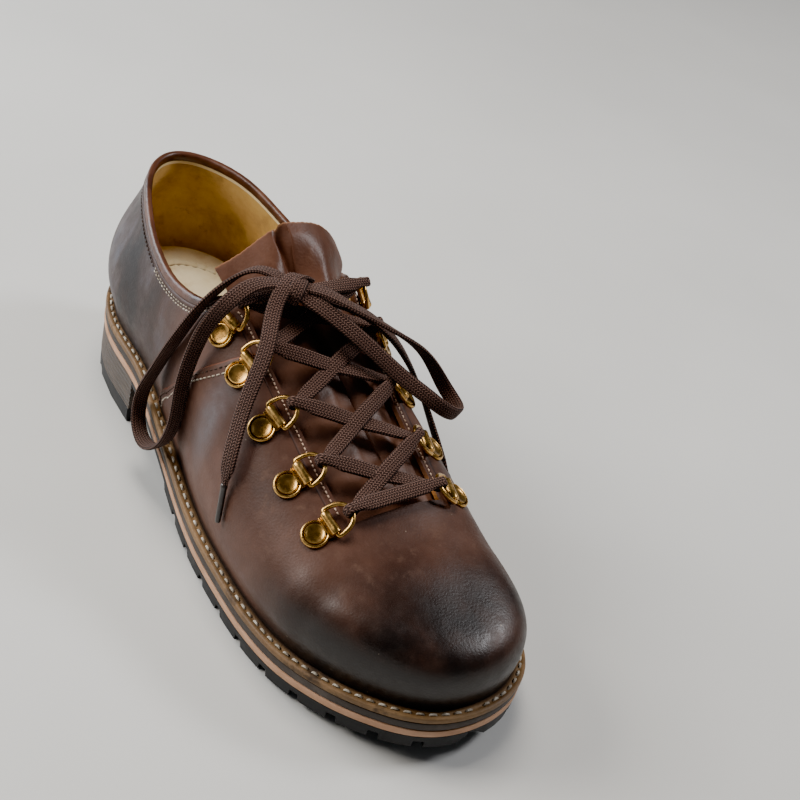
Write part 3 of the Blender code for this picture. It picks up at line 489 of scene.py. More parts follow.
def slab_faces(levels, count):
    """Quads between stacked loops, and a cap on each end from its outer half across to its inner half."""
    i = np.arange(count // 2 - 1)
    cap = np.stack([i, i + 1, count - 2 - i, count - 1 - i], -1)
    return [grid_faces(levels, count, True), cap, cap + (levels - 1) * count]


board_look = Finish("leather_board", {"Specular IOR Level": 0.4})
board_streak = board_look.noise(120.0, 5.0, 0.65, (1, 1, 5))
board_groove = board_look.mark("groove")
board_look.relief(board_look.noise(700.0, 3.0, 0.6, (1, 1, 3)), 0.12)
board_colour = board_look.ramp(
    board_streak, (0.3, 0.040, 0.029, 0.022), (0.55, 0.088, 0.066, 0.052), (0.75, 0.140, 0.110, 0.088)
)
LEATHER_BOARD = board_look.finish(
    board_look.mix(board_look.band(board_groove, 0.15, 0.9), board_colour, (0.013, 0.009, 0.007)),
    board_look.band(board_streak, 0.3, 0.7, 0.48, 0.7),
)
stack_psi = np.concatenate([[0.004, 0.02], np.linspace(0.05, psi_at(HEEL_BREAST - GAP), 60)])
stack_low = LIFT_THICK + GAP
stack_high = seat_z(0.0) - OUTSOLE_TOP
layer = (stack_high - stack_low) / HEEL_LAYERS
stack_steps = np.array([0.07, 0.16, 0.3, 0.7, 0.84, 0.93, 1.0])
stack_z = np.concatenate([[0], (np.arange(HEEL_LAYERS)[:, None] + stack_steps).ravel()]) * layer + stack_low
stack_cut = np.tile([0.5, 0.12, 0.0, 0.0, 0.12, 0.5, 1.0], HEEL_LAYERS)
stack_cut = np.concatenate([[0.0], stack_cut[:-1], [0.0]])
stack_loops = [
    sole_loop(stack_psi, 0.4 + GROOVE_DEEP * cut, lambda x, z=z: np.minimum(z, seat_z(x) - OUTSOLE_TOP))
    for z, cut in zip(stack_z, stack_cut)
]
put(
    "heel_stack_layers",
    np.concatenate(stack_loops),
    slab_faces(len(stack_loops), len(stack_loops[0])),
    LEATHER_BOARD,
    "heel_layers",
    ["heel_stack"],
    40,
    groove=np.repeat(stack_cut, len(stack_loops[0])),
)

# The two layers of midsole: a light tan one on the rubber and a dark dyed one on it, cut together and
# trimmed on the wheel, so the edges carry fine trimming marks.
END_TURNS = np.array([0.004, 0.02])
ROUND = np.concatenate([END_TURNS, np.linspace(0.05, math.pi - 0.05, 150), math.pi - END_TURNS[::-1]])


def layer_profile(top, thick, inset, curl):
    """A trimmed edge as (inset, drop) pairs from its lower to its upper arris, both slightly rounded."""
    low = top + thick
    return (
        (inset + curl, low),
        (inset + 0.3 * curl, low - 0.3 * curl),
        (inset, low - curl),
        (inset, top + 0.5 * thick),
        (inset, top + curl),
        (inset + 0.3 * curl, top + 0.3 * curl),
        (inset + curl, top),
    )


def sole_layer(name, profile, look, slot, node):
    """A layer of the sole: its edge profile carried round the outline, with flat faces above and below."""
    loops = [sole_loop(ROUND, inset, lambda x, drop=drop: seat_z(x) - drop) for inset, drop in profile]
    faces = slab_faces(len(loops), len(loops[0]))
    inward = np.repeat([inset for inset, _ in profile], len(loops[0]))
    return put(name, np.concatenate(loops), faces, look, slot, [node], 40, inward=inward)


tan_look = Finish("tan_layer_edge", {"Specular IOR Level": 0.3})
tan_cloud = tan_look.noise(70.0, 5.0, 0.6)
tan_look.relief(tan_look.noise(900.0, 3.0, 0.6, (1, 1, 2.5)), 0.1)
tan_smudge = tan_look.band(tan_look.noise(38.0, 5.0, 0.6), 0.56, 0.74)
tan_colour = tan_look.ramp(
    tan_cloud, (0.3, 0.40, 0.215, 0.120), (0.55, 0.52, 0.300, 0.185), (0.75, 0.60, 0.370, 0.245)
)
TAN_EDGE = tan_look.finish(
    tan_look.mix(tan_smudge, tan_colour, (0.20, 0.105, 0.060)), tan_look.band(tan_cloud, 0.3, 0.7, 0.55, 0.75)
)
dark_look = Finish("dark_layer_edge", {"Specular IOR Level": 0.4})
dark_cloud = dark_look.noise(60.0, 5.0, 0.62)
dark_look.relief(dark_look.noise(800.0, 3.0, 0.6, (1, 1, 2.5)), 0.1)
DARK_EDGE = dark_look.finish(
    dark_look.ramp(
        dark_cloud, (0.3, 0.020, 0.014, 0.011), (0.55, 0.046, 0.035, 0.029), (0.75, 0.095, 0.077, 0.065)
    ),
    dark_look.band(dark_cloud, 0.3, 0.7, 0.45, 0.68),
)
tan_profile = layer_profile(TAN_TOP, TAN_THICK, 0.1, 0.35)
dark_profile = layer_profile(DARK_TOP + GAP, DARK_THICK, 0.3, 0.45)
sole_layer("tan_midsole_layer", tan_profile, TAN_EDGE, "tan_layer", "midsole_tan")
sole_layer("dark_midsole_layer", dark_profile, DARK_EDGE, "dark_layer", "midsole_dark")

# The welt: a strip of golden-brown leather sewn round the foot of the upper, with a groove cut in its top
# for the row of thick white stitches that holds it to the layers below.
STITCH_INSET = 2.3
STITCH_PITCH = 4.7


def stitches(path, normal, pitch, long, wide, high):
    """Thread along a path as short bars: centre(t) = path + normal * high * (1 - (2t-1)^4) - a dip.

    Each bar has seven rings of six points, thick in the middle and thin where it goes into its holes.
    """
    run = measured(path)
    count = max(1, round(run[-1] / pitch))
    t = np.linspace(0, 1, 7)
    at = (np.arange(count)[:, None] + 0.5 + (t - 0.5) * long / pitch) * run[-1] / count
    mid = np.stack([np.interp(at, run, path[:, k]) for k in range(3)], -1)
    out = np.stack([np.interp(at, run, normal[:, k]) for k in range(3)], -1)
    way = np.gradient(mid, axis=1)
    way /= np.linalg.norm(way, axis=-1, keepdims=True)
    out -= way * (out * way).sum(-1, keepdims=True)
    out /= np.linalg.norm(out, axis=-1, keepdims=True)
    across = np.cross(way, out)
    crown = 1 - np.abs(2 * t - 1) ** 4
    mid = mid + out * (high * (1.35 * crown - 0.95))[None, :, None]
    turn = np.arange(6) * math.pi / 3
    fat = (0.35 + 0.65 * crown)[None, :, None, None]
    ring = across[:, :, None] * np.cos(turn)[:, None] * wide / 2
    ring = ring + out[:, :, None] * np.sin(turn)[:, None] * high / 2
    points = (mid[:, :, None] + ring * fat).reshape(-1, 3)
    first = np.arange(count)[:, None, None] * 42
    sides = (grid_faces(7, 6, True)[None] + first).reshape(-1, 4)
    ends = np.concatenate([np.arange(6)[None], np.arange(6)[None] + 36])
    return points, [sides, (ends[None] + first).reshape(-1, 6)]


def sewn(name, rows, look, slot):
    """Rows of stitches joined into one piece."""
    points, faces, first = [], [], 0
    for row_points, row_faces in rows:
        points.append(row_points)
        faces += [block + first for block in row_faces]
        first += len(row_points)
    return put(name, np.concatenate(points), faces, look, slot)


welt_look = Finish("welt_strip", {"Specular IOR Level": 0.4})
welt_cloud = welt_look.noise(48.0, 5.0, 0.62)
welt_stain = welt_look.band(welt_look.noise(95.0, 5.0, 0.65), 0.52, 0.72)
welt_look.relief(welt_look.noise(1300.0, 3.0), 0.08)
welt_look.relief(welt_look.noise(240.0, 4.0, 0.6), 0.22)
welt_colour = welt_look.ramp(
    welt_cloud, (0.28, 0.085, 0.045, 0.020), (0.5, 0.185, 0.102, 0.042), (0.74, 0.290, 0.172, 0.080)
)
welt_colour = welt_look.mix(welt_stain, welt_colour, (0.050, 0.028, 0.015))
welt_inner = welt_look.band(welt_look.mark("inward"), 2.8, 5.0)
WELT_STRIP = welt_look.finish(
    welt_look.mix(welt_inner, welt_colour, (0.022, 0.012, 0.008)),
    welt_look.band(welt_cloud, 0.3, 0.7, 0.5, 0.72),
)


def thread(name, lumps, twist, rough, *stops):
    """Sewing thread: its colour goes through the stops where it is dirty, and its twist is fine relief."""
    look = Finish(name, {"Specular IOR Level": 0.3})
    dirt = look.noise(lumps, 4.0, 0.65)
    look.relief(look.noise(2600.0, 2.0, *twist), 0.12)
    return look.finish(look.ramp(dirt, *stops), look.band(dirt, 0.3, 0.7, *rough))


WHITE_THREAD = thread(
    "white_thread", 260.0, (0.5, (1, 1.6, 1)), (0.9, 0.72),
    (0.3, 0.17, 0.125, 0.085), (0.5, 0.46, 0.40, 0.32), (0.7, 0.74, 0.69, 0.60),
)
WELT_FOOT = ((0.7, 0.02), (0.15, 0.25), (0.0, 0.7))
WELT_ARRIS = ((0.0, 1.4), (0.0, 0.8), (0.15, 0.35), (0.6, 0.05), (1.2, 0.0))
WELT_GROOVE = ((-0.75, 0.02), (-0.35, 0.3), (0.35, 0.3), (0.75, 0.02))
WELT_INSIDE = ((3.6, 0.0), (5.2, 0.12), (9.0, 0.2))
WELT_PROFILE = (
    *((inset, WELT_THICK - rise) for inset, rise in WELT_FOOT),
    *WELT_ARRIS,
    *((STITCH_INSET + off, drop) for off, drop in WELT_GROOVE),
    *WELT_INSIDE,
)
sole_layer("welt_strip", WELT_PROFILE, WELT_STRIP, "welt_leather", "welt")
welt_rows = []
for side in SIDES:
    welt_edge, _ = sole_edge(np.linspace(0.03, math.pi - 0.02, 700), side, STITCH_INSET)
    welt_path = np.column_stack([welt_edge, seat_z(welt_edge[:, 0]) - 0.05])
    welt_rows.append(stitches(welt_path, np.broadcast_to(UP, welt_path.shape), STITCH_PITCH, 3.6, 1.15, 0.75))
sewn("welt_stitches", welt_rows, WHITE_THREAD, "welt_leather")

# The sock: a pale leather sheet over the insole and its heel pad, dished a little under the foot, with a
# sewn seam across it that has puckered. It lies loose inside the upper.
LEATHER = 2.4
WELT_REACH, WELT_REACH_HEEL = 4.6, 3.5
INSOLE_THICK, INSOLE_CLEAR = 3.0, 1.4
PAD_HIGH, PAD_FADE = 10.0, (60.0, 170.0)
SOCK_SEAM_X, SOCK_SEAM_BEND = 22.0, 0.042


def welt_reach(x):
    """How far the welt stands out past the leather."""
    return WELT_REACH_HEEL + (WELT_REACH - WELT_REACH_HEEL) * ease(60, 110, x)


def sock_grid(psi, across):
    """The sock's top: from outer edge to inner edge at each station, low in the middle.

    Round the heel runs a seam at x = SOCK_SEAM_X + bend * y^2: a narrow trough, puckered on either side.
    """
    edges = [sole_edge(psi, side, welt_reach(station(psi)) + LEATHER + INSOLE_CLEAR)[0] for side in SIDES]
    share = (across[None, :, None] + 1) / 2
    plan = edges[0][:, None] * (1 - share) + edges[1][:, None] * share
    from_seam = plan[..., 0] - SOCK_SEAM_X - SOCK_SEAM_BEND * plan[..., 1] ** 2
    pucker = 0.8 * np.exp(-(((np.abs(from_seam) - 2.2) / 1.4) ** 2)) * (1 + 0.5 * np.sin(plan[..., 1] * 1.9))
    trough = -0.9 * np.exp(-((from_seam / 0.9) ** 2))
    dish = -0.9 * (1 - across[None] ** 2) * np.sin(psi)[:, None]
    pad = PAD_HIGH * (1 - ease(*PAD_FADE, plan[..., 0]))
    height = seat_z(plan[..., 0]) + GAP + INSOLE_THICK + pad + dish + pucker + trough
    return np.concatenate([plan, height[..., None]], -1), from_seam


def sheet_faces(stations, width):
    """Quads of a sheet: rings of top points and bottom points back, carried along, with both ends shut."""
    j = np.arange(width - 1)
    end = np.stack([j, j + 1, 2 * width - 2 - j, 2 * width - 1 - j], -1)
    return [grid_faces(stations, 2 * width, True), end, end + (stations - 1) * 2 * width]


sock_look = Finish("sock_leather", {"Specular IOR Level": 0.25})
sock_cloud = sock_look.noise(32.0, 5.0, 0.6)
sock_worn = sock_look.band(sock_look.noise(75.0, 5.0, 0.65), 0.5, 0.72)
sock_look.relief(sock_look.cells(1500.0), 0.05)
sock_look.relief(sock_look.noise(220.0, 4.0, 0.6), 0.2)
sock_colour = sock_look.ramp(
    sock_cloud, (0.3, 0.78, 0.69, 0.46), (0.55, 0.86, 0.79, 0.58), (0.75, 0.90, 0.85, 0.68)
)
sock_colour = sock_look.mix(sock_worn, sock_colour, (0.70, 0.58, 0.36))
SOCK_LEATHER = sock_look.finish(
    sock_look.mix(sock_look.band(sock_look.mark("seam"), 1.1, 0.2), sock_colour, (0.30, 0.21, 0.11)),
    sock_look.band(sock_cloud, 0.3, 0.7, 0.72, 0.88),
)
sock_near_seam = psi_at(np.linspace(18, 56, 100))
sock_psi = np.unique(np.concatenate([np.linspace(0.02, math.pi - 0.02, 90), sock_near_seam]))
sock_across = np.linspace(-1, 1, 41)
sock_top, sock_from_seam = sock_grid(sock_psi, sock_across)
sock_low = sock_top.copy()
sock_low[..., 2] = seat_z(sock_top[..., 0]) + GAP
sock_profile = np.concatenate([sock_top, sock_low[:, ::-1]], 1)
put(
    "sock",
    sock_profile,
    sheet_faces(len(sock_psi), len(sock_across)),
    SOCK_LEATHER,
    "sock",
    ["insole"],
    50,
    seam=np.abs(np.concatenate([sock_from_seam, 9 + 0 * sock_from_seam], 1)),
)

# The upper: thick waxed leather, pulled over the last and lined with tan suede. The wings of the vamp
# lap over the quarter and are sewn down twice; along the throat the leather is cut back to a thin facing.
FEATHER_GAP = 0.6
LAP, LAP_FADE = 1.1, 34.0
FACING_STEP = 0.5
SEAM_ROWS, SEAM_SLANT = (1.6, 3.5), 0.78
FACING_WIDE, COLLAR_BAND = 4.4, 0.6
PAD_MID, PAD_HALF, ROWS_MID = 1.7, 1.0, 3.6
LAST = table(
    "x  swell_lat swell_med wide_lat wide_med ridge_z ridge_y full_side full_top",
    (8, 4.8, 4.8, 20, 20, 140, 0.0, 0.70, 0.70),
    (40, 4.0, 3.5, 19, 20, 140, 0.0, 0.70, 0.70),
    (75, 2.5, 3.0, 19, 24, 132, 0.5, 0.72, 0.70),
    (105, 2.5, 7.0, 19, 30, 114, 1.0, 0.74, 0.70),
    (128, 2.5, 8.5, 19, 31, 101, 2.0, 0.75, 0.70),
    (150, 3.0, 6.5, 18, 28, 88, 4.0, 0.75, 0.70),
    (175, 3.5, 3.5, 17, 21, 76, 6.0, 0.72, 0.68),
    (205, 3.5, 1.3, 16, 16, 65, 7.0, 0.66, 0.64),
    (225, 3.0, -0.5, 16, 14, 59, 7.5, 0.65, 0.66),
    (245, 2.5, -1.8, 15, 13, 55, 6.5, 0.72, 0.74),
    (276, 1.5, 1.5, 12.5, 12.5, 46, 4.0, 0.76, 0.78),
)
TOE_FAN_X, TOE_PULL = 200.0, 34.0
THROAT_FRONT, THROAT_Y = 214.0, 0.5
THROAT = table("x half", (100, 24.5), (128, 23.5), (165, 21.5), (211, 20.0), (240, 17.0))
COLLAR_BACK, COLLAR_REACH, COLLAR_END = 11.0, 72.0, 141.0
COLLAR = table(
    "x   half_lat half_med z_lat z_med lean",
    (11, 29.5, 28.5, 96.5, 96.5, 10),
    (35, 30.5, 29.0, 93.0, 95.5, 10),
    (65, 32.0, 29.5, 85.5, 90.5, 10),
    (88, 33.0, 30.5, 84.0, 88.5, 14),
    (105, 32.5, 31.0, 88.0, 90.5, 20),
    (122, 30.0, 30.0, 96.0, 96.0, 28),
    (141, 29.0, 29.0, 102.0, 102.0, 35),
)
COLLAR_FADE = (104.0, 132.0)
SEAM = table(
    "row x",
    (0.0, 93.0),
    (0.7, 99.0),
    (1.0, 105.0),
    (1.2, 113.5),
    (1.4, 125.0),
    (1.6, 133.0),
    (1.8, 138.0),
    (2.0, 142.0),
)


def named(side, column):
    """The column of a table that belongs to a side."""
    return column + ("_lat" if side < 0 else "_med")


def bezier(poly, t):
    """A cubic Bezier of control points poly[..., 4, 3] at t."""
    t = np.asarray(t, float)[..., None]
    a, b, c, d = (poly[..., i, :] for i in range(4))
    return (1 - t) ** 3 * a + 3 * (1 - t) ** 2 * t * b + 3 * (1 - t) * t**2 * c + t**3 * d


def split(poly, t):
    """The two Beziers that a cut at t leaves."""
    t = np.asarray(t, float)[:, None]
    a, b, c, d = (poly[:, i] for i in range(4))
    ab, bc, cd = a + (b - a) * t, b + (c - b) * t, c + (d - c) * t
    abc, bcd = ab + (bc - ab) * t, bc + (cd - bc) * t
    mid = abc + (bcd - abc) * t
    return np.stack([a, ab, abc, mid], 1), np.stack([mid, bcd, cd, d], 1)


def reach_y(poly, side, half):
    """The t at which a section comes in to half from the throat's middle, by halving."""
    low, high = np.zeros(len(poly)), np.ones(len(poly))
    for _ in range(36):
        mid = (low + high) / 2
        outside = side * (bezier(poly, mid)[:, 1] - THROAT_Y) > half
        low, high = np.where(outside, mid, low), np.where(outside, high, mid)
    return (low + high) / 2


def whole_section(psi, side):
    """A half section of the last as if it were closed: feather to widest, and widest to the ridge."""
    x = station(psi)
    foot, out = sole_edge(psi, side, welt_reach(x) + LEATHER)
    fx = foot[:, 0]
    out = np.column_stack([out, 0 * x])
    feather = np.column_stack([foot, seat_z(fx) + FEATHER_GAP])
    swell = along(LAST, named(side, "swell"), fx)[:, None]
    high = along(LAST, named(side, "wide"), fx)[:, None]
    wide = feather + out * swell + UP * high
    lower = np.stack([feather, feather + 0.35 * UP * high, wide - 0.5 * UP * high, wide], 1)
    rx = x - TOE_PULL * np.clip((x - TOE_FAN_X) / (LENGTH - TOE_FAN_X), 0, 1) ** 2
    ridge = np.column_stack([rx, along(LAST, "ridge_y", rx), along(LAST, "ridge_z", rx)])
    slope = along(LAST, "ridge_z", rx + 0.5) - along(LAST, "ridge_z", rx - 0.5)
    across = (ridge - wide)[:, :2]
    width = np.maximum(np.linalg.norm(across, axis=1, keepdims=True), 1e-6)
    level = np.column_stack([across / width, across[:, 0] / width[:, 0] * slope])
    side_pull = along(LAST, "full_side", rx)[:, None] * (ridge - wide)[:, 2:]
    top_pull = along(LAST, "full_top", rx)[:, None] * width
    closed = np.stack([wide, wide + UP * side_pull, ridge - level * top_pull, ridge], 1)
    return lower, closed, out


def section(psi, side):
    """A half section of the upper: feather to widest, widest to its free edge, and edge to ridge (vamp)."""
    x = station(psi)
    lower, closed, out = whole_section(psi, side)
    cut = reach_y(closed, side, along(THROAT, "half", x))
    toe = ease(214, 250, x)
    eyestay, top = split(closed, cut * (1 - toe) + 0.62 * toe)
    wide = lower[:, 3]
    ex = np.clip(COLLAR_BACK + x * (COLLAR_END - COLLAR_BACK) / COLLAR_END, COLLAR_BACK, COLLAR_END)
    round_off = np.sqrt(1 - (1 - np.clip((ex - COLLAR_BACK) / COLLAR_REACH, 0, 1)) ** 2)
    half = along(COLLAR, named(side, "half"), ex) * round_off
    edge = np.column_stack([ex, side * half, along(COLLAR, named(side, "z"), ex)])
    lean = np.radians(along(COLLAR, "lean", ex))[:, None]
    rise = (edge - wide)[:, 2:]
    upright = UP * np.cos(lean) - out * np.sin(lean)
    collar = np.stack([wide, wide + 0.42 * UP * rise, edge - 0.38 * upright * rise, edge], 1)
    throat = ease(*COLLAR_FADE, x)[:, None, None]
    return lower, collar * (1 - throat) + eyestay * throat, top


def last_point(psi, side, row):
    """A point of the last: row 0 feather, 1 widest, 2 free edge, 3 ridge (in front of the throat)."""
    shape = np.broadcast_shapes(np.shape(psi), np.shape(row))
    psi = np.broadcast_to(np.asarray(psi, float), shape).ravel()
    row = np.broadcast_to(np.asarray(row, float), shape).ravel()
    parts = section(psi, side)
    found = bezier(parts[0], np.clip(row, 0, 1))
    found = np.where((row > 1)[:, None], bezier(parts[1], np.clip(row - 1, 0, 1)), found)
    found = np.where((row > 2)[:, None], bezier(parts[2], np.clip(row - 2, 0, 1)), found)
    return found.reshape(*shape, 3)


def last_frame(psi, side, row):
    """Point, outward normal, way up the wall and way along the edge, from small steps on the last."""
    step = 1e-3
    row = np.asarray(row, float)
    safe = np.clip(psi, 2 * step, math.pi - 2 * step)
    high = np.where(row <= 2, np.minimum(row + step, 2), row + step)
    low = np.where(row > 2, np.maximum(row - step, 2 + 1e-9), row - step)
    run = last_point(safe + step, side, row) - last_point(safe - step, side, row)
    rise = last_point(safe, side, high) - last_point(safe, side, low)
    normal = np.cross(run, rise) * -side
    normal /= np.linalg.norm(normal, axis=-1, keepdims=True)
    rise -= normal * (rise * normal).sum(-1, keepdims=True)
    rise /= np.linalg.norm(rise, axis=-1, keepdims=True)
    return last_point(psi, side, row), normal, rise, np.cross(normal, rise)


def seam_x(row):
    """The seam's station at a row of the wall: far back at the welt, forward at the throat."""
    return along(SEAM, "x", row, by="row")


def lap_at(x, row):
    """How much thicker the lap of the wing makes the wall, fading forward from the seam."""
    ahead = x - seam_x(row)
    return np.where(ahead > 0, LAP * (1 - ease(0, LAP_FADE, ahead)), 0.0)


def facing_at(x):
    """How wide the cut-back strip is below the free edge: the binding's seat, then the throat's facing."""
    return COLLAR_BAND + (FACING_WIDE - COLLAR_BAND) * ease(112, 124, x)


CREASES = table(
    "x    y    turn long wide deep",
    (243, -33, 31, 44, 3.8, 0.85),
    (239, -26, 31, 44, 5.0, -0.55),
    (232, -42, 75, 18, 4.2, -0.60),
    (222, -41, 75, 22, 5.0, 0.50),
    (228, -12, 75, 30, 7.0, -0.40),
    (238, -2, 85, 26, 7.0, 0.35),
    (222, 16, 108, 24, 6.5, -0.45),
    (232, 24, 118, 22, 6.0, -0.40),
    (150, -46, 20, 34, 8.0, -0.35),
    (172, -48, 12, 30, 7.0, -0.30),
    (60, -38, 80, 26, 8.0, -0.30),
    (84, -40, 70, 28, 8.0, -0.35),
)


def creased(point):
    """Soft troughs and ridges: each a Gaussian across its line, faded at its ends."""
    x, y = point[..., 0], point[..., 1]
    sunk = 0 * x
    for i in range(len(CREASES["x"])):
        crease = {key: values[i] for key, values in CREASES.items()}
        turn = math.radians(crease["turn"])
        run = (x - crease["x"]) * math.cos(turn) + (y - crease["y"]) * math.sin(turn)
        off = (y - crease["y"]) * math.cos(turn) - (x - crease["x"]) * math.sin(turn)
        fade = (off / crease["wide"]) ** 2 + (2 * run / crease["long"]) ** 4
        sunk = sunk + crease["deep"] * np.exp(-fade)
    return sunk


def edge_rows(psi, side, drops):
    """Rows of the wall that lie drops millimetres below its free edge."""
    last_stretch = last_point(psi, side, 2.0 + 0 * psi) - last_point(psi, side, 1.98 + 0 * psi)
    speed = np.linalg.norm(last_stretch, axis=-1) / 0.02
    return 2 - drops / speed[..., None]


LEAST_DROPS = np.array([7.2, 6.2, 5.4, 4.8, 4.2, 3.6, 3.0, 2.4, 1.9, 1.4])
BELOW_STEP = np.array([2.8, 2.55, 2.3, 2.05, 1.8, 1.55, 1.3, 1.1, 0.9, 0.7])


def wall(side):
    """The outer wall as a grid of stations and rows, thickened outward from the last.

    Stations between heel and throat shear so that one pair follows the seam. Near the free edge the rows
    lie at fixed distances below it, with a pair at the facing's step. Returns the angle and the row of each
    point, and the distances.
    """
    share = np.concatenate([np.linspace(0, 1, 80), 1 + np.linspace(0, 1, 60), 2 + np.linspace(0, 1, 90)[1:]])
    share[79] -= 0.0002
    share[80] += 0.0002
    edge_psi = np.interp(share, [0, 1, 2, 3], [0, psi_at(seam_x(2.0)), psi_at(THROAT_FRONT), math.pi])
    step_at = facing_at(station(edge_psi))[:, None]
    above_step = step_at * [0.86, 0.7, 0.5, 0.3, 0.14, 0.0]
    below_step = np.maximum(LEAST_DROPS, step_at + BELOW_STEP)
    drops = np.concatenate([below_step, step_at + [0.5, 0.12, 0.0], above_step], 1)
    near = edge_rows(edge_psi, side, drops)
    low = np.concatenate([np.linspace(0, 1, 15), 1 + np.linspace(0, 1, 36)[1:-1]])
    low = low[None] * near[:, :1] / 2.0
    rows = np.concatenate([low, near], 1)
    seam_psi = psi_at(seam_x(rows))
    psi = np.where(
        share[:, None] < 1,
        share[:, None] * seam_psi,
        np.where(
            share[:, None] < 2,
            seam_psi + (share[:, None] - 1) * (psi_at(THROAT_FRONT) - seam_psi),
            psi_at(THROAT_FRONT) + (share[:, None] - 2) * (math.pi - psi_at(THROAT_FRONT)),
        ),
    )
    return psi, rows, drops


def thickened(psi, rows, side, to_edge):
    """Points of the wall's outer face: the last, plus leather, lap and creases, less the facing's step.

    Where the two sides meet, at heel, toe and ridge, both use the mean of their normals.
    """
    point, normal, _, _ = last_frame(psi, side, rows)
    meets = (rows > 3 - 1e-6) | (psi < 1e-6) | (psi > math.pi - 1e-6)
    normal = normal + np.where(meets[..., None], last_frame(psi, -side, rows)[1], 0.0)
    normal /= np.linalg.norm(normal, axis=-1, keepdims=True)
    x = station(psi)
    thick = LEATHER + lap_at(x, np.minimum(rows, 2.0))
    cut = (to_edge < facing_at(x)) & (x < THROAT_FRONT - 0.05)
    thick = thick - np.where(cut, FACING_STEP + lap_at(x, np.minimum(rows, 2.0)), 0.0)
    padded = 0.55 * np.exp(-(((to_edge - PAD_MID) / PAD_HALF) ** 2))
    padded = padded - 0.35 * np.exp(-(((to_edge - ROWS_MID) / 1.3) ** 2))
    thick = thick + padded * ease(120, 112, x)
    seam_off = (x - seam_x(np.minimum(rows, 2.0))) * SEAM_SLANT
    sewn_in = 0.22 * sum(np.exp(-(((seam_off - row) / 0.5) ** 2)) for row in SEAM_ROWS)
    round_edge = 0.5 * np.exp(-(np.maximum(seam_off, 0) / 0.5)) * (seam_off > 0)
    thick = thick - np.where(rows < 2.001, sewn_in + round_edge, 0.0)
    return point + normal * (thick + creased(point) * ease(0.2, 0.9, rows))[..., None], point


EDGE_FAR = 40.0
upper_points, upper_faces, upper_first = [], [], 0
upper_marks = {"seam": [], "edge": [], "within": [], "height": []}
for side in SIDES:
    wall_psi, wall_rows, wall_drops = wall(side)
    stations, heights = wall_rows.shape
    wall_edge = np.concatenate(
        [np.broadcast_to(EDGE_FAR, (stations, heights - wall_drops.shape[1])), wall_drops], 1
    )
    wall_edge = np.where(station(wall_psi) > THROAT_FRONT - 0.05, EDGE_FAR, wall_edge)
    top_rows = 2 + np.linspace(0, 1, 46)[1:]
    front = np.argmax(wall_psi[:, -1] > psi_at(THROAT_FRONT) - 1e-6)
    vamp_psi = np.repeat(wall_psi[front:, -1:], len(top_rows) + 1, 1)
    vamp_rows = np.broadcast_to(top_rows, (stations - front, len(top_rows)))
    vamp_rows = np.concatenate([wall_rows[front:, -1:], vamp_rows], 1)
    vamp_edge = np.full(vamp_psi.shape, EDGE_FAR)
    for psi, rows, to_edge, start in (
        (wall_psi, wall_rows, wall_edge, 0),
        (vamp_psi, vamp_rows, vamp_edge, front),
    ):
        outer, inner = thickened(psi, rows, side, to_edge)
        count = outer[..., 0].size
        quads = grid_faces(*outer.shape[:2], first=upper_first)
        upper_points += [outer.reshape(-1, 3), inner.reshape(-1, 3)]
        upper_faces += [quads, quads[:, ::-1] + count]
        numbers = np.arange(count).reshape(outer.shape[:2]) + upper_first
        rims = [numbers[:, 0]] if start == 0 else [numbers[0]]
        if start == 0:
            rims.append(numbers[: front + 1, -1])
        upper_faces += [np.stack([rim[:-1], rim[1:], rim[1:] + count, rim[:-1] + count], -1) for rim in rims]
        x = station(psi)
        off_seam = np.where(rows < 2.001, (x - seam_x(np.minimum(rows, 2.0))) * SEAM_SLANT, EDGE_FAR)
        upper_marks["seam"] += [off_seam.ravel()] * 2
        upper_marks["edge"] += [to_edge.ravel()] * 2
        upper_marks["within"] += [np.zeros(count), np.ones(count)]
        upper_marks["height"] += [rows.ravel()] * 2
        upper_first += 2 * count

hide_look = Finish("waxed_leather")
hide_place = hide_look.node("SeparateXYZ", {"Vector": hide_look.where}).outputs
hide_cloud = hide_look.noise(24.0, 5.0, 0.6)
hide_fine = hide_look.noise(210.0, 5.0, 0.65)
hide_edge = hide_look.mark("edge")
hide_colour = hide_look.ramp(
    hide_cloud, (0.30, 0.043, 0.0195, 0.0137), (0.50, 0.082, 0.0385, 0.0270), (0.72, 0.130, 0.064, 0.0455)
)
hide_pale = hide_look.band(hide_fine, 0.52, 0.75, 0.0, 0.4)
hide_colour = hide_look.mix(hide_pale, hide_colour, (0.140, 0.074, 0.050))
hide_back = hide_look.band(hide_place["X"], -0.015, -0.085)
hide_streak = hide_look.noise(60.0, 6.0, 0.62, (1, 1, 0.4), 0.2)
hide_dark = hide_look.both(hide_back, hide_look.band(hide_streak, 0.66, 0.36, 0.5, 0.95))
hide_colour = hide_look.mix(hide_dark, hide_colour, (0.015, 0.0145, 0.0165))
# Partly the wax's pale bloom, partly painted sheen: pale blue-grey streaks on the back of the shoe stand for
# the gloss of a cool light.
hide_bloom_and_sheen = hide_look.both(hide_back, hide_look.band(hide_streak, 0.48, 0.74, 0.0, 0.5))
hide_colour = hide_look.mix(hide_bloom_and_sheen, hide_colour, (0.092, 0.107, 0.140))
# Painted reflection: a pale grey patch on the outer wing by the second clip stands for a soft light's sheen.
hide_painted_reflection = hide_look.both(
    hide_look.spot((0.004, -0.043, 0.062), (0.011, 0.03, 0.034)),
    hide_look.band(hide_fine, 0.3, 0.7, 0.35, 0.7),
)
hide_colour = hide_look.mix(hide_painted_reflection, hide_colour, (0.135, 0.128, 0.140))
hide_collar = hide_look.both(
    hide_look.band(hide_place["X"], -0.022, -0.030), hide_look.band(hide_edge, 4.4, 2.6, 0.0, 0.8)
)
hide_colour = hide_look.mix(hide_collar, hide_colour, (0.050, 0.023, 0.017))
hide_burnt = hide_look.both(
    hide_look.band(hide_place["X"], 0.078, 0.122), hide_look.band(hide_cloud, 0.75, 0.35, 0.5, 0.97)
)
hide_front = hide_look.both(
    hide_look.band(hide_place["X"], 0.045, 0.100), hide_look.band(hide_place["Z"], 0.060, 0.038, 0.0, 0.95)
)
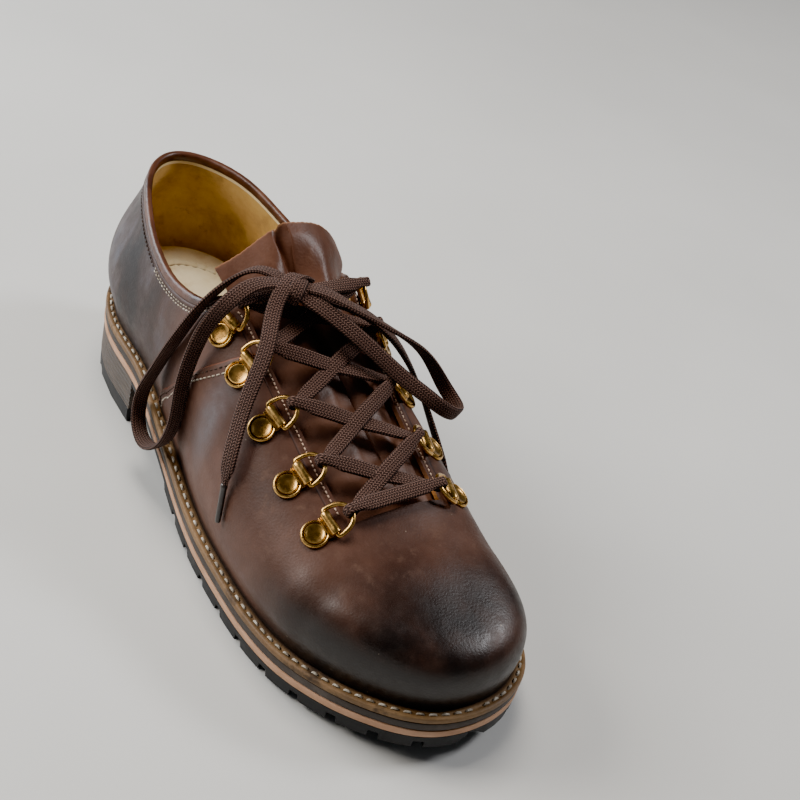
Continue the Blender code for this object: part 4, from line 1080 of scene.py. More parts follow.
hide_burnt = hide_look.calc("MAXIMUM", hide_burnt, hide_front)
hide_colour = hide_look.mix(hide_burnt, hide_colour, (0.0060, 0.0046, 0.0042))
hide_foot = hide_look.band(hide_look.mark("height"), 0.32, 0.02, 0.0, 0.85)
hide_colour = hide_look.mix(hide_foot, hide_colour, (0.008, 0.0055, 0.0042))
hide_seam = hide_look.calc("ABSOLUTE", hide_look.mark("seam"))
hide_colour = hide_look.mix(hide_look.band(hide_seam, 0.45, 0.12), hide_colour, (0.150, 0.050, 0.026))
# Partly the dark cut edge, partly painted shadow: a dark line along the facing's step at the throat.
hide_step_edge_and_shadow = hide_look.calc("ABSOLUTE", hide_look.calc("SUBTRACT", hide_edge, FACING_WIDE))
hide_step_edge_and_shadow = hide_look.both(
    hide_look.band(hide_step_edge_and_shadow, 0.45, 0.12, 0.0, 0.6), hide_look.band(hide_place["X"], -0.024, -0.018)
)
hide_colour = hide_look.mix(hide_step_edge_and_shadow, hide_colour, (0.010, 0.0058, 0.0045))
hide_speck = hide_look.band(hide_look.cells(95.0, "F1"), 0.040, 0.022, 0.0, 0.5)
hide_colour = hide_look.mix(hide_speck, hide_colour, (0.34, 0.27, 0.21))
hide_look.relief(hide_look.noise(75.0, 3.0, 0.5, (0.7, 1, 1)), 0.14)
hide_look.relief(hide_look.cells(1150.0), 0.050)
hide_look.relief(hide_look.noise(2600.0, 2.0), 0.03)
hide_rough = hide_look.band(hide_fine, 0.25, 0.75, 0.42, 0.58)
hide_gloss = hide_look.calc("ADD", hide_look.both(hide_burnt, 0.8), hide_look.both(hide_back, 0.3))
WAXED_LEATHER = hide_look.finish(
    hide_colour,
    hide_look.calc("SUBTRACT", hide_rough, hide_look.both(hide_gloss, 0.16)),
    hide_look.band(hide_gloss, 0.0, 1.0, 0.26, 0.46),
)
suede_look = Finish(
    "lining_suede", {"Specular IOR Level": 0.12, "Sheen Weight": 0.06, "Sheen Roughness": 0.6}
)
suede_cloud = suede_look.noise(42.0, 5.0, 0.66)
suede_look.relief(suede_look.noise(1700.0, 3.0, 0.6), 0.10)
suede_colour = suede_look.ramp(
    suede_cloud, (0.28, 0.31, 0.165, 0.034), (0.50, 0.56, 0.340, 0.088), (0.74, 0.68, 0.460, 0.150)
)
suede_blot = suede_look.band(suede_look.noise(120.0, 5.0, 0.7), 0.56, 0.74, 0.0, 0.6)
suede_colour = suede_look.mix(suede_blot, suede_colour, (0.26, 0.130, 0.024))
suede_rim = suede_look.band(suede_look.mark("edge"), 2.3, 1.9)
SUEDE = suede_look.finish(
    suede_look.mix(suede_rim, suede_colour, (0.80, 0.67, 0.40)),
    suede_look.band(suede_cloud, 0.3, 0.7, 0.82, 0.95),
)
cut_look = Finish("cut_leather_edge", {"Specular IOR Level": 0.25})
cut_cloud = cut_look.noise(160.0, 5.0, 0.6)
cut_place = cut_look.node("SeparateXYZ", {"Vector": cut_look.where}).outputs
cut_look.relief(cut_look.noise(1400.0, 3.0, 0.6), 0.12)
cut_colour = cut_look.ramp(cut_cloud, (0.3, 0.080, 0.034, 0.018), (0.7, 0.170, 0.075, 0.036))
CUT_EDGE = cut_look.finish(
    cut_look.mix(cut_look.band(cut_place["X"], 0.060, 0.067), cut_colour, (0.48, 0.200, 0.060)),
    cut_look.band(cut_cloud, 0.3, 0.7, 0.7, 0.85),
)
upper = put(
    "upper_leather",
    np.concatenate(upper_points),
    upper_faces,
    WAXED_LEATHER,
    "upper_leather",
    ["upper"],
    48,
    **{mark: np.concatenate(values) for mark, values in upper_marks.items()},
)
upper.data.materials.append(SUEDE)
upper.data.materials.append(CUT_EDGE)


def by_face(piece, mark):
    """The mean of a mark over the corners of each four-sided face."""
    values = np.empty(len(piece.data.vertices), np.float32)
    piece.data.attributes[mark].data.foreach_get("value", values)
    corners = np.empty(len(piece.data.loops), np.int32)
    piece.data.loops.foreach_get("vertex_index", corners)
    starts = np.empty(len(piece.data.polygons), np.int32)
    piece.data.polygons.foreach_get("loop_start", starts)
    return np.add.reduceat(values[corners], starts) / np.diff(np.append(starts, len(corners)))


upper_within = by_face(upper, "within")
upper.data.polygons.foreach_set(
    "material_index", np.where(upper_within > 0.8, 1, np.where(upper_within > 0.2, 2, 0)).astype(np.int32)
)

# The thread of the upper: two rows beside the wing's edge, brown next to it and white behind, and one faded
# row along the facing of the throat, all sewn through leather and lining.
FACING_ROW = 1.6


def on_wall(psi, side, rows, to_edge, lift):
    """A path on the leather and its normals, lifted a little off it."""
    outer, _ = thickened(psi, rows, side, to_edge)
    normal = last_frame(psi, side, rows)[1]
    return outer + normal * lift, normal


DARK_THREAD = thread(
    "dark_thread", 240.0, (), (0.85, 0.65), (0.3, 0.020, 0.012, 0.009), (0.7, 0.085, 0.052, 0.038)
)
edge_threads, seam_threads, facing_threads = [], [], []
for side in SIDES:
    for off, threads in zip(SEAM_ROWS, (edge_threads, seam_threads)):
        rows = np.linspace(0.10, 1.90, 500)
        path, normal = on_wall(psi_at(seam_x(rows) + off / SEAM_SLANT), side, rows, EDGE_FAR + 0 * rows, 0.1)
        threads.append(stitches(path, normal, 2.5, 2.0, 0.66, 0.48))
    psi = psi_at(np.linspace(123.5, 208.5, 500))
    rows = edge_rows(psi, side, np.array([FACING_ROW]))[:, 0]
    path, normal = on_wall(psi, side, rows, FACING_ROW + 0 * rows, 0.1)
    facing_threads.append(stitches(path, normal, 1.9, 1.6, 0.65, 0.5))
sewn("seam_edge_stitches", edge_threads, DARK_THREAD, "upper_leather")
sewn("seam_stitches", seam_threads, WHITE_THREAD, "upper_leather")
FADED_THREAD = thread(
    "faded_thread", 240.0, (), (0.9, 0.72),
    (0.3, 0.30, 0.18, 0.12), (0.5, 0.56, 0.39, 0.29), (0.7, 0.70, 0.54, 0.43),
)
sewn("facing_stitches", facing_threads, FADED_THREAD, "upper_leather")

# The collar binding: a thin strip of smooth reddish leather rolled over the edge of the padded collar. Two
# rows of small stitches below it close the padding, white in front and dark round the heel.
BINDING_HALF, BINDING_HIGH, BINDING_RAISE = 1.6, 2.4, 1.3
BINDING_END, BINDING_FADE = 121.0, 109.0
COLLAR_ROWS = (2.9, 4.4)
WHITE_FROM = 62.0


def rolled(psi, turn):
    """The roll: an oval across the wall's edge, carried from one eyestay round the heel to the other.

    It is pinched flat toward both front ends, where it runs out under the laces.
    """
    runs = []
    for side in SIDES:
        point, normal, rise, _ = last_frame(np.maximum(psi, 2e-3), side, 1.999 + 0 * psi)
        slim = 1 - 0.62 * ease(BINDING_FADE, BINDING_END, station(psi))[:, None, None]
        wave = 1 + 0.022 * np.sin(station(psi) * 1.15) + 0.018 * np.sin(station(psi) * 0.47 + side)
        across = np.sign(np.cos(turn)) * np.abs(np.cos(turn)) ** 0.8 * BINDING_HALF
        height = np.sign(np.sin(turn)) * np.abs(np.sin(turn)) ** 0.85 * BINDING_HIGH
        mid = point + normal * LEATHER / 2 + rise * BINDING_RAISE
        ring = normal[:, None] * across[:, None] * wave[:, None, None] + rise[:, None] * height[:, None]
        runs.append(mid[:, None] + ring * slim)
    return np.concatenate([runs[0][::-1], runs[1][1:]])


binding_look = Finish(
    "binding_leather", {"Specular IOR Level": 0.5, "Coat Weight": 0.15, "Coat Roughness": 0.3}
)
binding_cloud = binding_look.noise(65.0, 5.0, 0.6)
binding_look.relief(binding_look.cells(1500.0), 0.04)
binding_look.relief(binding_look.noise(190.0, 4.0, 0.6), 0.22)
BINDING = binding_look.finish(
    binding_look.ramp(
        binding_cloud, (0.3, 0.034, 0.0115, 0.006), (0.52, 0.075, 0.025, 0.012), (0.75, 0.130, 0.048, 0.023)
    ),
    binding_look.band(binding_cloud, 0.3, 0.7, 0.32, 0.48),
)
roll_turn = np.arange(20) * math.tau / 20
roll_points = rolled(np.linspace(0, psi_at(BINDING_END), 150), roll_turn)
roll_ends = [np.arange(20)[None], np.arange(20)[None] + (len(roll_points) - 1) * 20]
roll_faces = [grid_faces(len(roll_points), 20, True), *roll_ends]
put("collar_roll", roll_points, roll_faces, BINDING, "binding_leather", ["collar_binding"])
collar_white, collar_dark = [], []
for side in SIDES:
    for threads, first_x, last_x in ((collar_dark, 0.3, WHITE_FROM), (collar_white, WHITE_FROM + 1.5, 119.0)):
        psi = np.linspace(psi_at(first_x), psi_at(last_x), 500)
        for drop in COLLAR_ROWS:
            rows = edge_rows(psi, side, np.array([drop]))[:, 0]
            path, normal = on_wall(psi, side, rows, drop + 0 * rows, 0.1)
            threads.append(stitches(path, normal, 2.3, 1.7, 0.6, 0.45))
sewn("collar_stitches_front", collar_white, WHITE_THREAD, "upper_leather")
sewn("collar_stitches_heel", collar_dark, DARK_THREAD, "upper_leather")

# The tongue: a bellows of soft reddish leather sewn inside the throat. Shut by the laces it folds into a
# flat outer panel, a deep valley and a fat inner roll; its top edge is cut raw.
TONGUE_THICK, TONGUE_DROP = 1.8, 1.9
TONGUE = table(
    "x   half_lat half_med fold_lat valley fold_med fold_y fold_w",
    (104, 28.3, 29.0, 4.9, 0.9, 9.9, 14.0, 11.0),
    (110, 27.3, 28.5, 4.6, -1.2, 8.7, 13.4, 10.1),
    (116, 26.0, 25.0, 4.2, -3.1, 7.4, 12.8, 9.2),
    (122, 25.2, 24.5, 3.8, -4.4, 5.9, 12.3, 8.4),
    (126, 26.5, 26.5, 3.5, -5.0, 5.0, 12.0, 8.0),
    (145, 26.5, 26.5, 3.0, -6.5, 3.5, 11.0, 7.5),
    (165, 26.0, 26.0, 2.5, -6.0, 3.0, 11.0, 7.5),
    (188, 25.0, 25.0, 1.5, -4.0, 1.5, 11.0, 7.5),
    (208, 24.0, 24.0, 0.0, -0.5, 0.0, 11.0, 7.5),
    (222, 23.0, 23.0, 0.0, 0.0, 0.0, 11.0, 7.5),
)
TOP_FADE = (108.0, 121.0)
TOP_FALL = 0.55
PANEL_Y, PANEL_Z, PANEL_SLOPE = -2.4, 119.8, 0.618
LOBE_Y, LOBE_HALF, LOBE_Z, LOBE_HIGH = 3.5, 28.5, 93.0, 28.7


def tongue_point(x, y):
    """The tongue's outer face: the last, dropped clear of the leather, plus two folds and a valley.

    Folds and valley are Gaussians across it; fine lengthwise wrinkles die out toward the toe. The free top
    is a sloping flat panel on the outer side and a quarter of an ellipse on the inner side.
    """
    shape = np.broadcast_shapes(np.shape(x), np.shape(y))
    x = np.broadcast_to(np.asarray(x, float), shape).ravel()
    y = np.broadcast_to(np.asarray(y, float), shape).ravel()
    off = np.abs(y - THROAT_Y)
    found = np.empty((len(x), 3))
    fold = np.empty(len(x))
    for side in SIDES:
        mine = (y < THROAT_Y) if side < 0 else (y >= THROAT_Y)
        closed = whole_section(psi_at(x[mine]), side)[1]
        found[mine] = bezier(closed, reach_y(closed, side, off[mine]))
        fold[mine] = along(TONGUE, named(side, "fold"), x[mine])
    half = along(THROAT, "half", x) - 1.0
    clear = np.where(x > 122, 1 - ease(0, 1, (off - half + 7) / 7), 1 - ease(20.0, 34.0, off))
    middle = np.where(y < THROAT_Y, 4.5 - along(TONGUE, "fold_y", x), along(TONGUE, "fold_y", x) + 1)
    bulge = fold * np.exp(-(((y - middle) / along(TONGUE, "fold_w", x)) ** 2))
    off_slot = y + 0.7 - 4.2 * ease(121, 150, x)
    slot = 0.6 * along(TONGUE, "valley", x) * np.exp(-((off_slot / 2.8) ** 2))
    slot = slot - 2.4 * ease(206, 180, x) * np.exp(-((off_slot / 1.2) ** 2))
    wrinkle = 0.22 * np.sin(0.55 * y + 0.11 * x) * np.sin(0.19 * x + 0.3 * y) * ease(215, 170, x)
    found[:, 2] += clear * (bulge + slot + wrinkle) - TONGUE_DROP
    panel = PANEL_Z + PANEL_SLOPE * (y - PANEL_Y)
    lobe = LOBE_Z + LOBE_HIGH * np.sqrt(np.clip(1 - (np.maximum(0, y - LOBE_Y) / LOBE_HALF) ** 2, 0, 1))
    crease = 8.0 * ease(102.0, 109, x) * np.exp(-(((y - PANEL_Y - 0.1 * (x - 104)) / 1.7) ** 2))
    top = panel + (lobe - panel) * ease(-0.7, 0.7, y - PANEL_Y) - TOP_FALL * (x - 104) - crease
    found[:, 2] += (top - found[:, 2]) * (1 - ease(*TOP_FADE, x))
    return found.reshape(*shape, 3)


tongue_x = np.concatenate([np.linspace(104, 130, 50), np.linspace(130, 219, 105)[1:]])
tongue_share = np.linspace(-1, 1, 121)
tongue_lat, tongue_med = (along(TONGUE, column, tongue_x)[:, None] for column in ("half_lat", "half_med"))
tongue_half = np.where(tongue_share < 0, tongue_lat, tongue_med)
tongue_ragged = 0.14 * np.sin(tongue_share * 61) * np.sin(tongue_share * 23 + 1)
tongue_ragged = tongue_ragged + 0.35 * np.sin(tongue_share * 7)
tongue_run = tongue_x[:, None] + tongue_ragged * ease(112, 104, tongue_x)[:, None]
tongue_top = tongue_point(tongue_run, THROAT_Y + tongue_share * tongue_half)
tongue_normal = np.cross(np.gradient(tongue_top, axis=0), np.gradient(tongue_top, axis=1))
tongue_normal /= np.linalg.norm(tongue_normal, axis=-1, keepdims=True)
tongue_under = tongue_top - tongue_normal * TONGUE_THICK
soft_look = Finish("tongue_leather", {"Specular IOR Level": 0.36})
soft_cloud = soft_look.noise(46.0, 5.0, 0.62)
soft_streak = soft_look.noise(150.0, 4.0, 0.6, (0.35, 1, 1))
soft_look.relief(soft_streak, 0.3)
soft_look.relief(soft_look.cells(1150.0), 0.06)
soft_raw = soft_look.mark("raw")
soft_colour = soft_look.ramp(
    soft_cloud, (0.28, 0.062, 0.0250, 0.0150), (0.5, 0.106, 0.0440, 0.0270), (0.74, 0.152, 0.067, 0.0420)
)
soft_place = soft_look.node("SeparateXYZ", {"Vector": soft_look.where}).outputs
soft_low = soft_look.band(soft_place["X"], -0.020, 0.005, 0.0, 0.75)
soft_colour = soft_look.mix(soft_low, soft_colour, (0.112, 0.056, 0.039))
soft_lit = soft_look.band(soft_streak, 0.55, 0.75, 0.0, 0.5)
soft_colour = soft_look.mix(soft_lit, soft_colour, (0.140, 0.064, 0.040))
TONGUE_LEATHER = soft_look.finish(
    soft_look.mix(soft_raw, soft_colour, (0.36, 0.17, 0.085)),
    soft_look.band(soft_cloud, 0.3, 0.7, 0.38, 0.52),
)
tongue_raw = np.broadcast_to(ease(0.6, 0.1, tongue_x - 104)[:, None], tongue_top.shape[:2])
put(
    "folded_tongue",
    np.concatenate([tongue_top, tongue_under[:, ::-1]], 1),
    sheet_faces(len(tongue_x), len(tongue_share)),
    TONGUE_LEATHER,
    "tongue_leather",
    ["tongue"],
    60,
    raw=np.concatenate([tongue_raw, tongue_raw], 1),
)

# The clips: stamped antique brass. A round foot with a raised rim is held by a broad dished rivet, and a
# strap runs from it to the throat, where it is rolled into a tube for the ring.
HOOK_X = (126.0, 143.5, 165.5, 189.0, 211.0)
HOOK_ROW = 1.82
RIVET_AT = -3.4
TUBE_AT, TUBE_R = 3.3, 2.0
STRAP_HALF = 4.7
CLIP_FOOT = np.array(
    [
        (0, -0.6, 0), (5.3, -0.6, 0), (5.55, 0.2, 0.3), (5.5, 0.8, 0.8), (5.28, 1.2, 1), (4.95, 1.34, 1),
        (4.62, 1.22, 0.9), (4.44, 0.86, 0.2), (4.3, 0.70, 0), (4.14, 0.8, 0.1), (4.06, 1.12, 0.6),
        (3.9, 1.36, 1), (3.6, 1.4, 1), (3.3, 1.24, 0.6), (2.6, 1.02, 0.45),
        (1.6, 0.9, 0.4), (0.6, 0.86, 0.4), (0, 0.86, 0.4),
    ]
)


def hook_frame(x, side):
    """A clip's seat on the leather: the middle, and axes to the throat, along its edge and off the face."""
    place = last_frame(np.atleast_1d(psi_at(x)), side, np.array([HOOK_ROW]))
    point, normal, inward, edge = (v[0] for v in place)
    return point + normal * (LEATHER + float(lap_at(x, HOOK_ROW))), np.column_stack([inward, edge, normal])


def turned_foot(turn):
    """The foot and rivet: a profile of (radius, height, rub) turned about the rivet."""
    radius, height = CLIP_FOOT[:, 0], CLIP_FOOT[:, 1]
    around = np.stack([np.cos(turn), np.sin(turn), 0 * turn], -1)
    points = around[None] * radius[:, None, None] + UP * height[:, None, None]
    return points + [RIVET_AT, 0, 0], np.repeat(CLIP_FOOT[:, 2:], len(turn), 1)


def strap(share):
    """The strap and its roll: a closed side view carried across its width, drawn in at both ends.

    The side view runs under the plate, round the roll and back along the plate's top.
    """
    turn = np.radians(np.linspace(-112, 205, 22))
    roll = np.stack([TUBE_AT + TUBE_R * np.cos(turn), GAP + TUBE_R + TUBE_R * np.sin(turn)], -1)
    plate = np.array([(0.75, 1.6), (0.45, 1.5), (0.2, 1.2), (0.2, 0.0), (1.6, 0.0)])
    side_view = np.concatenate([roll, plate])
    way = np.roll(side_view, -1, 0) - np.roll(side_view, 1, 0)
    outward = np.stack([way[:, 1], -way[:, 0]], -1) / np.linalg.norm(way, axis=1, keepdims=True)
    drawn = 0.3 * np.clip((np.abs(share) - 0.93) / 0.07, 0, 1) ** 2
    view = side_view[None] - outward[None] * drawn[:, None, None]
    half = STRAP_HALF - 0.7 * ease(1.5, -2.6, view[..., 0])
    rub = np.broadcast_to(np.concatenate([0.75 + 0.25 * np.sin(turn), [0.1, 0.3, 0.2, 0, 0]]), view.shape[:2])
    return np.stack([view[..., 0], share[:, None] * half, view[..., 1]], -1), rub


brass_look = Finish("antique_brass", {"Metallic": 1.0})
brass_cloud = brass_look.noise(420.0, 4.0, 0.6)
brass_dark = brass_look.both(
    brass_look.band(brass_look.mark("rub"), 0.85, 0.1), brass_look.band(brass_cloud, 0.25, 0.6, 0.6, 1.0)
)
brass_colour = brass_look.ramp(
    brass_cloud, (0.3, 0.46, 0.255, 0.068), (0.55, 0.66, 0.395, 0.125), (0.75, 0.80, 0.535, 0.215)
)
brass_look.relief(brass_look.noise(1800.0, 3.0), 0.02)
BRASS = brass_look.finish(
    brass_look.mix(brass_dark, brass_colour, (0.200, 0.088, 0.018)),
    brass_look.band(brass_cloud, 0.3, 0.75, 0.24, 0.38),
)
foot_points, foot_rub = turned_foot(np.arange(36) * math.tau / 36)
strap_points, strap_rub = strap(np.array([-1, -0.965, -0.93, -0.6, 0, 0.6, 0.93, 0.965, 1]))
foot_count, strap_ring = foot_points[..., 0].size, strap_points.shape[1]
clip_points = np.concatenate([foot_points.reshape(-1, 3), strap_points.reshape(-1, 3)])
clip_faces = [
    grid_faces(len(CLIP_FOOT), 36, True),
    grid_faces(len(strap_points), strap_ring, True, foot_count),
    np.arange(strap_ring)[None] + foot_count,
    np.arange(strap_ring)[None] + foot_count + (len(strap_points) - 1) * strap_ring,
]
HOOKS = {(number, side): hook_frame(x, side) for number, x in enumerate(HOOK_X, 1) for side in SIDES}
for (number, side), (seat, axes) in HOOKS.items():
    clip_place = clip_points @ axes.T + seat
    put(
        named(side, "brass_clip") + f"_{number}", clip_place, clip_faces, BRASS, "antique_brass",
        [named(side, "clip") + f"_{number}"], 42, rub=np.concatenate([foot_rub.ravel(), strap_rub.ravel()]),
    )

# The rings: brass wire bent to a D, its straight side held in the clip's roll so that the arc can swing.
# The tight lace holds each one out over the throat.
RING_REACH, RING_HALF, RING_WIRE = 9.0, 6.0, 0.9
RING_LIFT = math.radians(12)


def wire_ring():
    """A D in the clip's frame: arc = reach * cos(t)^0.75 against half * sin(t), closed by its bar.

    The corners are eased by averaging along the line, and a round wire is carried along it.
    """
    t = np.linspace(-math.pi / 2, math.pi / 2, 61)
    reach = RING_REACH * np.cos(t).clip(0) ** 0.75
    arc_line = np.stack([reach, RING_HALF * np.sin(t)], -1)
    bar_line = np.stack([0 * t[1:-1:3], np.linspace(RING_HALF, -RING_HALF, len(t[1:-1:3]) + 2)[1:-1]], -1)
    line = np.concatenate([arc_line, bar_line])
    run = measured(np.vstack([line, line[:1]]))
    marks = np.linspace(0, run[-1], 97)[:-1]
    line = np.stack([np.interp(marks, run, np.append(line[:, k], line[0, k])) for k in range(2)], -1)
    line = sum(np.roll(line, shift, 0) for shift in range(-2, 3)) / 5
    way = np.roll(line, -1, 0) - np.roll(line, 1, 0)
    way /= np.linalg.norm(way, axis=1, keepdims=True)
    out = np.stack([way[:, 1], -way[:, 0]], -1)
    turn = np.arange(12) * math.tau / 12
    flat = line[:, None] + out[:, None] * np.cos(turn)[:, None] * RING_WIRE
    rise = np.broadcast_to(np.sin(turn) * RING_WIRE, flat.shape[:2])
    lift, tilt = math.cos(RING_LIFT), math.sin(RING_LIFT)
    x = TUBE_AT + flat[..., 0] * lift - rise * tilt
    return np.stack([x, flat[..., 1], GAP + TUBE_R + flat[..., 0] * tilt + rise * lift], -1)


ring_points = wire_ring()
ring_faces = grid_faces(len(ring_points), 12, True)
ring_last = (len(ring_points) - 1) * 12
ring_start, ring_next = np.arange(12), np.roll(np.arange(12), -1)
ring_close = np.stack([ring_last + ring_start, ring_start, ring_next, ring_last + ring_next], -1)
ring_rub = np.full(ring_points[..., 0].size, 0.7)
for (number, side), (seat, axes) in HOOKS.items():
    ring_place = ring_points.reshape(-1, 3) @ axes.T + seat
    put(
        named(side, "brass_ring") + f"_{number}", ring_place, [ring_faces, ring_close], BRASS,
        "antique_brass", [named(side, "ring") + f"_{number}"], rub=ring_rub,
    )

# The lacing: one flat braided lace, bunched in the rings. From a bar across the toe end it goes down through
# each ring and comes out under it to the next one up on the other side; at the top it goes on to the knot.
LACE_WIDE, LACE_THICK = 6.4, 2.0
LACE_TURN = RING_WIRE + LACE_THICK / 2 + 0.1
LACE_STEP = 0.7
KNOT = np.array([133.0, -8.0, 110.0])


def unit(v):
    """A vector, or an array of them, at length one."""
    return v / np.linalg.norm(v, axis=-1, keepdims=True)


def even(path, flat, step):
    """A path and its face directions, taken again at equal steps."""
    run = measured(path)
    keep = np.concatenate([[True], np.diff(run) > 1e-6])
    marks = np.linspace(0, run[-1], max(2, round(run[-1] / step) + 1))
    return [np.stack([np.interp(marks, run[keep], v[keep, k]) for k in range(3)], -1) for v in (path, flat)]


def ribbon(path, flat, wide=LACE_WIDE, thick=LACE_THICK):
    """A flat lace: a rounded oblong carried along a path with its face toward flat.

    Returns points, faces, and the weave's marks: millimetres along the lace and across it.
    """
    run = unit(np.gradient(path, axis=0))
    flat = unit(flat - run * (flat * run).sum(-1, keepdims=True))
    across = np.cross(run, flat)
    turn = (np.arange(18) + 0.5) * math.tau / 18
    wide = np.broadcast_to(wide, len(path))[:, None] / 2
    thick = np.broadcast_to(thick, len(path))[:, None] / 2
    a = np.sign(np.cos(turn)) * np.abs(np.cos(turn)) ** 0.55 * wide
    b = np.sign(np.sin(turn)) * np.abs(np.sin(turn)) ** 0.75 * thick
    points = path[:, None] + across[:, None] * a[..., None] + flat[:, None] * b[..., None]
    ends = [np.arange(18)[None], np.arange(18)[None] + (len(path) - 1) * 18]
    marks = {"weave_run": np.repeat(measured(path), 18), "weave_across": a.ravel()}
    return points.reshape(-1, 3), [grid_faces(len(path), 18, True), *ends], marks


def ring_tip(number, side):
    """The middle of a ring's arc and the ring's up direction."""
    seat, axes = HOOKS[number, side]
    local = (TUBE_AT + RING_REACH * math.cos(RING_LIFT), 0, GAP + TUBE_R + RING_REACH * math.sin(RING_LIFT))
    up = axes @ np.array([-math.sin(RING_LIFT), 0, math.cos(RING_LIFT)])
    return axes @ np.array(local) + seat, up


def round_wire(number, side, came, goes, over_first):
    """The lace's turn round a ring's wire: half a circle from above to below it, or from below to above.

    came and goes are the ways of the lace before and after; the circle's plane swings from one to the other.
    """
    tip, up = ring_tip(number, side)
    share = np.linspace(0, 1, 13)[:, None]
    angle = math.pi / 2 + math.pi * (share if over_first else 1 - share)
    before, after = (unit(w - up * w.dot(up)) for w in (-came, goes))
    reach = unit(before * (1 - share) + after * share)
    spoke = np.cos(angle) * reach + np.sin(angle) * up
    return tip + spoke * LACE_TURN, spoke


def strand(start, end, way_out, way_in, flats, over):
    """A stretch between two rings: a Hermite curve, raised over the tongue's folds and at the crossing."""
    t = np.linspace(0, 1, 60)[:, None]
    long = np.linalg.norm(end - start)
    chord = unit(end - start)
    leave, arrive = (unit(0.55 * unit(way) + 0.45 * chord) * long for way in (way_out, way_in))
    path = (2 * t**3 - 3 * t**2 + 1) * start + (t**3 - 2 * t**2 + t) * leave
    path = path + (3 * t**2 - 2 * t**3) * end + (t**3 - t**2) * arrive
    path = path + UP * over * np.exp(-(((t - 0.5) / 0.16) ** 2))
    ground = tongue_point(path[:, 0], path[:, 1])[:, 2] + LACE_THICK / 2 + 0.4
    short = np.maximum(0, ground + np.maximum(over, 0) - path[:, 2]) * np.sin(math.pi * t[:, 0]) ** 0.3
    spread = np.array([short[max(0, i - 5) : i + 6].max() for i in range(len(short))])
    kernel = np.hanning(13) / np.hanning(13).sum()
    path[:, 2] += np.convolve(np.pad(spread, 6, mode="edge"), kernel, "valid")
    return path, flats[0] * (1 - t) + flats[1] * t


def half_lace(first, knot_target):
    """Half of the lacing, from the middle of the bar up to the knot, by way of one ring on each level."""
    stops = [(number, first if number % 2 else -first) for number in (5, 4, 3, 2, 1)]
    tips = [ring_tip(*stop)[0] for stop in stops]
    ups = [ring_tip(*stop)[1] for stop in stops]
    bar_start = ring_tip(5, -first)
    places = [bar_start[0] + bar_start[1] * 0.4, *tips, knot_target]
    ways = [unit(b - a) for a, b in zip(places[:-1], places[1:])]
    paths, flats, sign = [], [], 1.0
    turns = [round_wire(*stop, ways[i], ways[i + 1], i < 4) for i, stop in enumerate(stops)]
    bar, bar_flat = strand(
        bar_start[0] + bar_start[1] * LACE_TURN, turns[0][0][0], ways[0], ways[0], (bar_start[1], ups[0]), 0.0
    )
    paths.append(bar[len(bar) // 2 :])
    flats.append(bar_flat[len(bar) // 2 :])
    for i, (turn_path, spoke) in enumerate(turns):
        sign = sign if i < 4 else -sign
        paths.append(turn_path)
        flats.append(spoke * sign)
        sign = -sign if i < 4 else sign
        if i < 4:
            lift = 0.95 if stops[i][1] == LATERAL else -0.6
            way = ways[i + 1]
            run, face = strand(turn_path[-1], turns[i + 1][0][0], way, way, (ups[i], ups[i + 1]), lift)
        else:
            run, face = strand(turn_path[-1], knot_target, ways[5], ways[5], (ups[4], UP), 0.0)
        paths.append(run[1:-1])
        flats.append(face[1:-1] * sign)
    return even(np.concatenate(paths), np.concatenate(flats), LACE_STEP)


weave_look = Finish("woven_lace", {"Specular IOR Level": 0.16, "Sheen Weight": 0.05, "Sheen Roughness": 0.5})
weave_run = weave_look.mark("weave_run")
weave_zig = weave_look.calc("PINGPONG", weave_look.calc("DIVIDE", weave_look.mark("weave_across"), 1.0), 1.0)
weave_at = weave_look.calc("ADD", weave_look.calc("DIVIDE", weave_run, 1.2), weave_look.both(weave_zig, 0.9))
weave_yarn = weave_look.calc("SINE", weave_look.both(weave_at, math.tau))
weave_yarn = weave_look.calc("ADD", weave_look.both(weave_yarn, 0.5), 0.5)
weave_rib = weave_look.calc("ABSOLUTE", weave_look.calc("SUBTRACT", weave_zig, 0.5))
weave_rib = weave_look.band(weave_rib, 0.5, 0.28)
weave_high = weave_look.both(weave_look.calc("ADD", weave_yarn, 0.25), weave_rib)
weave_fluff = weave_look.noise(900.0, 4.0, 0.6)
weave_look.relief(weave_high, 0.34)
weave_look.relief(weave_fluff, 0.10)
# Painted shade and painted highlight: the lace's colour follows the weave's relief, near black in its grooves
# and pale on its crests.
weave_shade_and_glint = weave_look.ramp(
    weave_high, (0.05, 0.010, 0.005, 0.004), (0.5, 0.049, 0.025, 0.0192), (1.0, 0.168, 0.094, 0.074)
)
# Pale flecks from the fibre noise, partly fluff and partly painted glints.
WOVEN_LACE = weave_look.finish(
    weave_look.mix(weave_look.band(weave_fluff, 0.52, 0.8, 0.0, 0.45), weave_shade_and_glint, (0.100, 0.058, 0.044)),
    weave_look.band(weave_fluff, 0.3, 0.7, 0.7, 0.9),
)


def laced(name, runs, slot, nodes):
    """Ribbons joined into one piece of lace, with their weave's marks."""
    points, faces, marks, first = [], [], {"weave_run": [], "weave_across": []}, 0
    for run_points, run_faces, run_marks in runs:
        points.append(run_points)
        faces += [block + first for block in run_faces]
        first += len(run_points)
        for mark in marks:
            marks[mark].append(run_marks[mark])
    joined = {mark: np.concatenate(values) for mark, values in marks.items()}
    return put(name, np.concatenate(points), faces, WOVEN_LACE, slot, nodes, **joined)


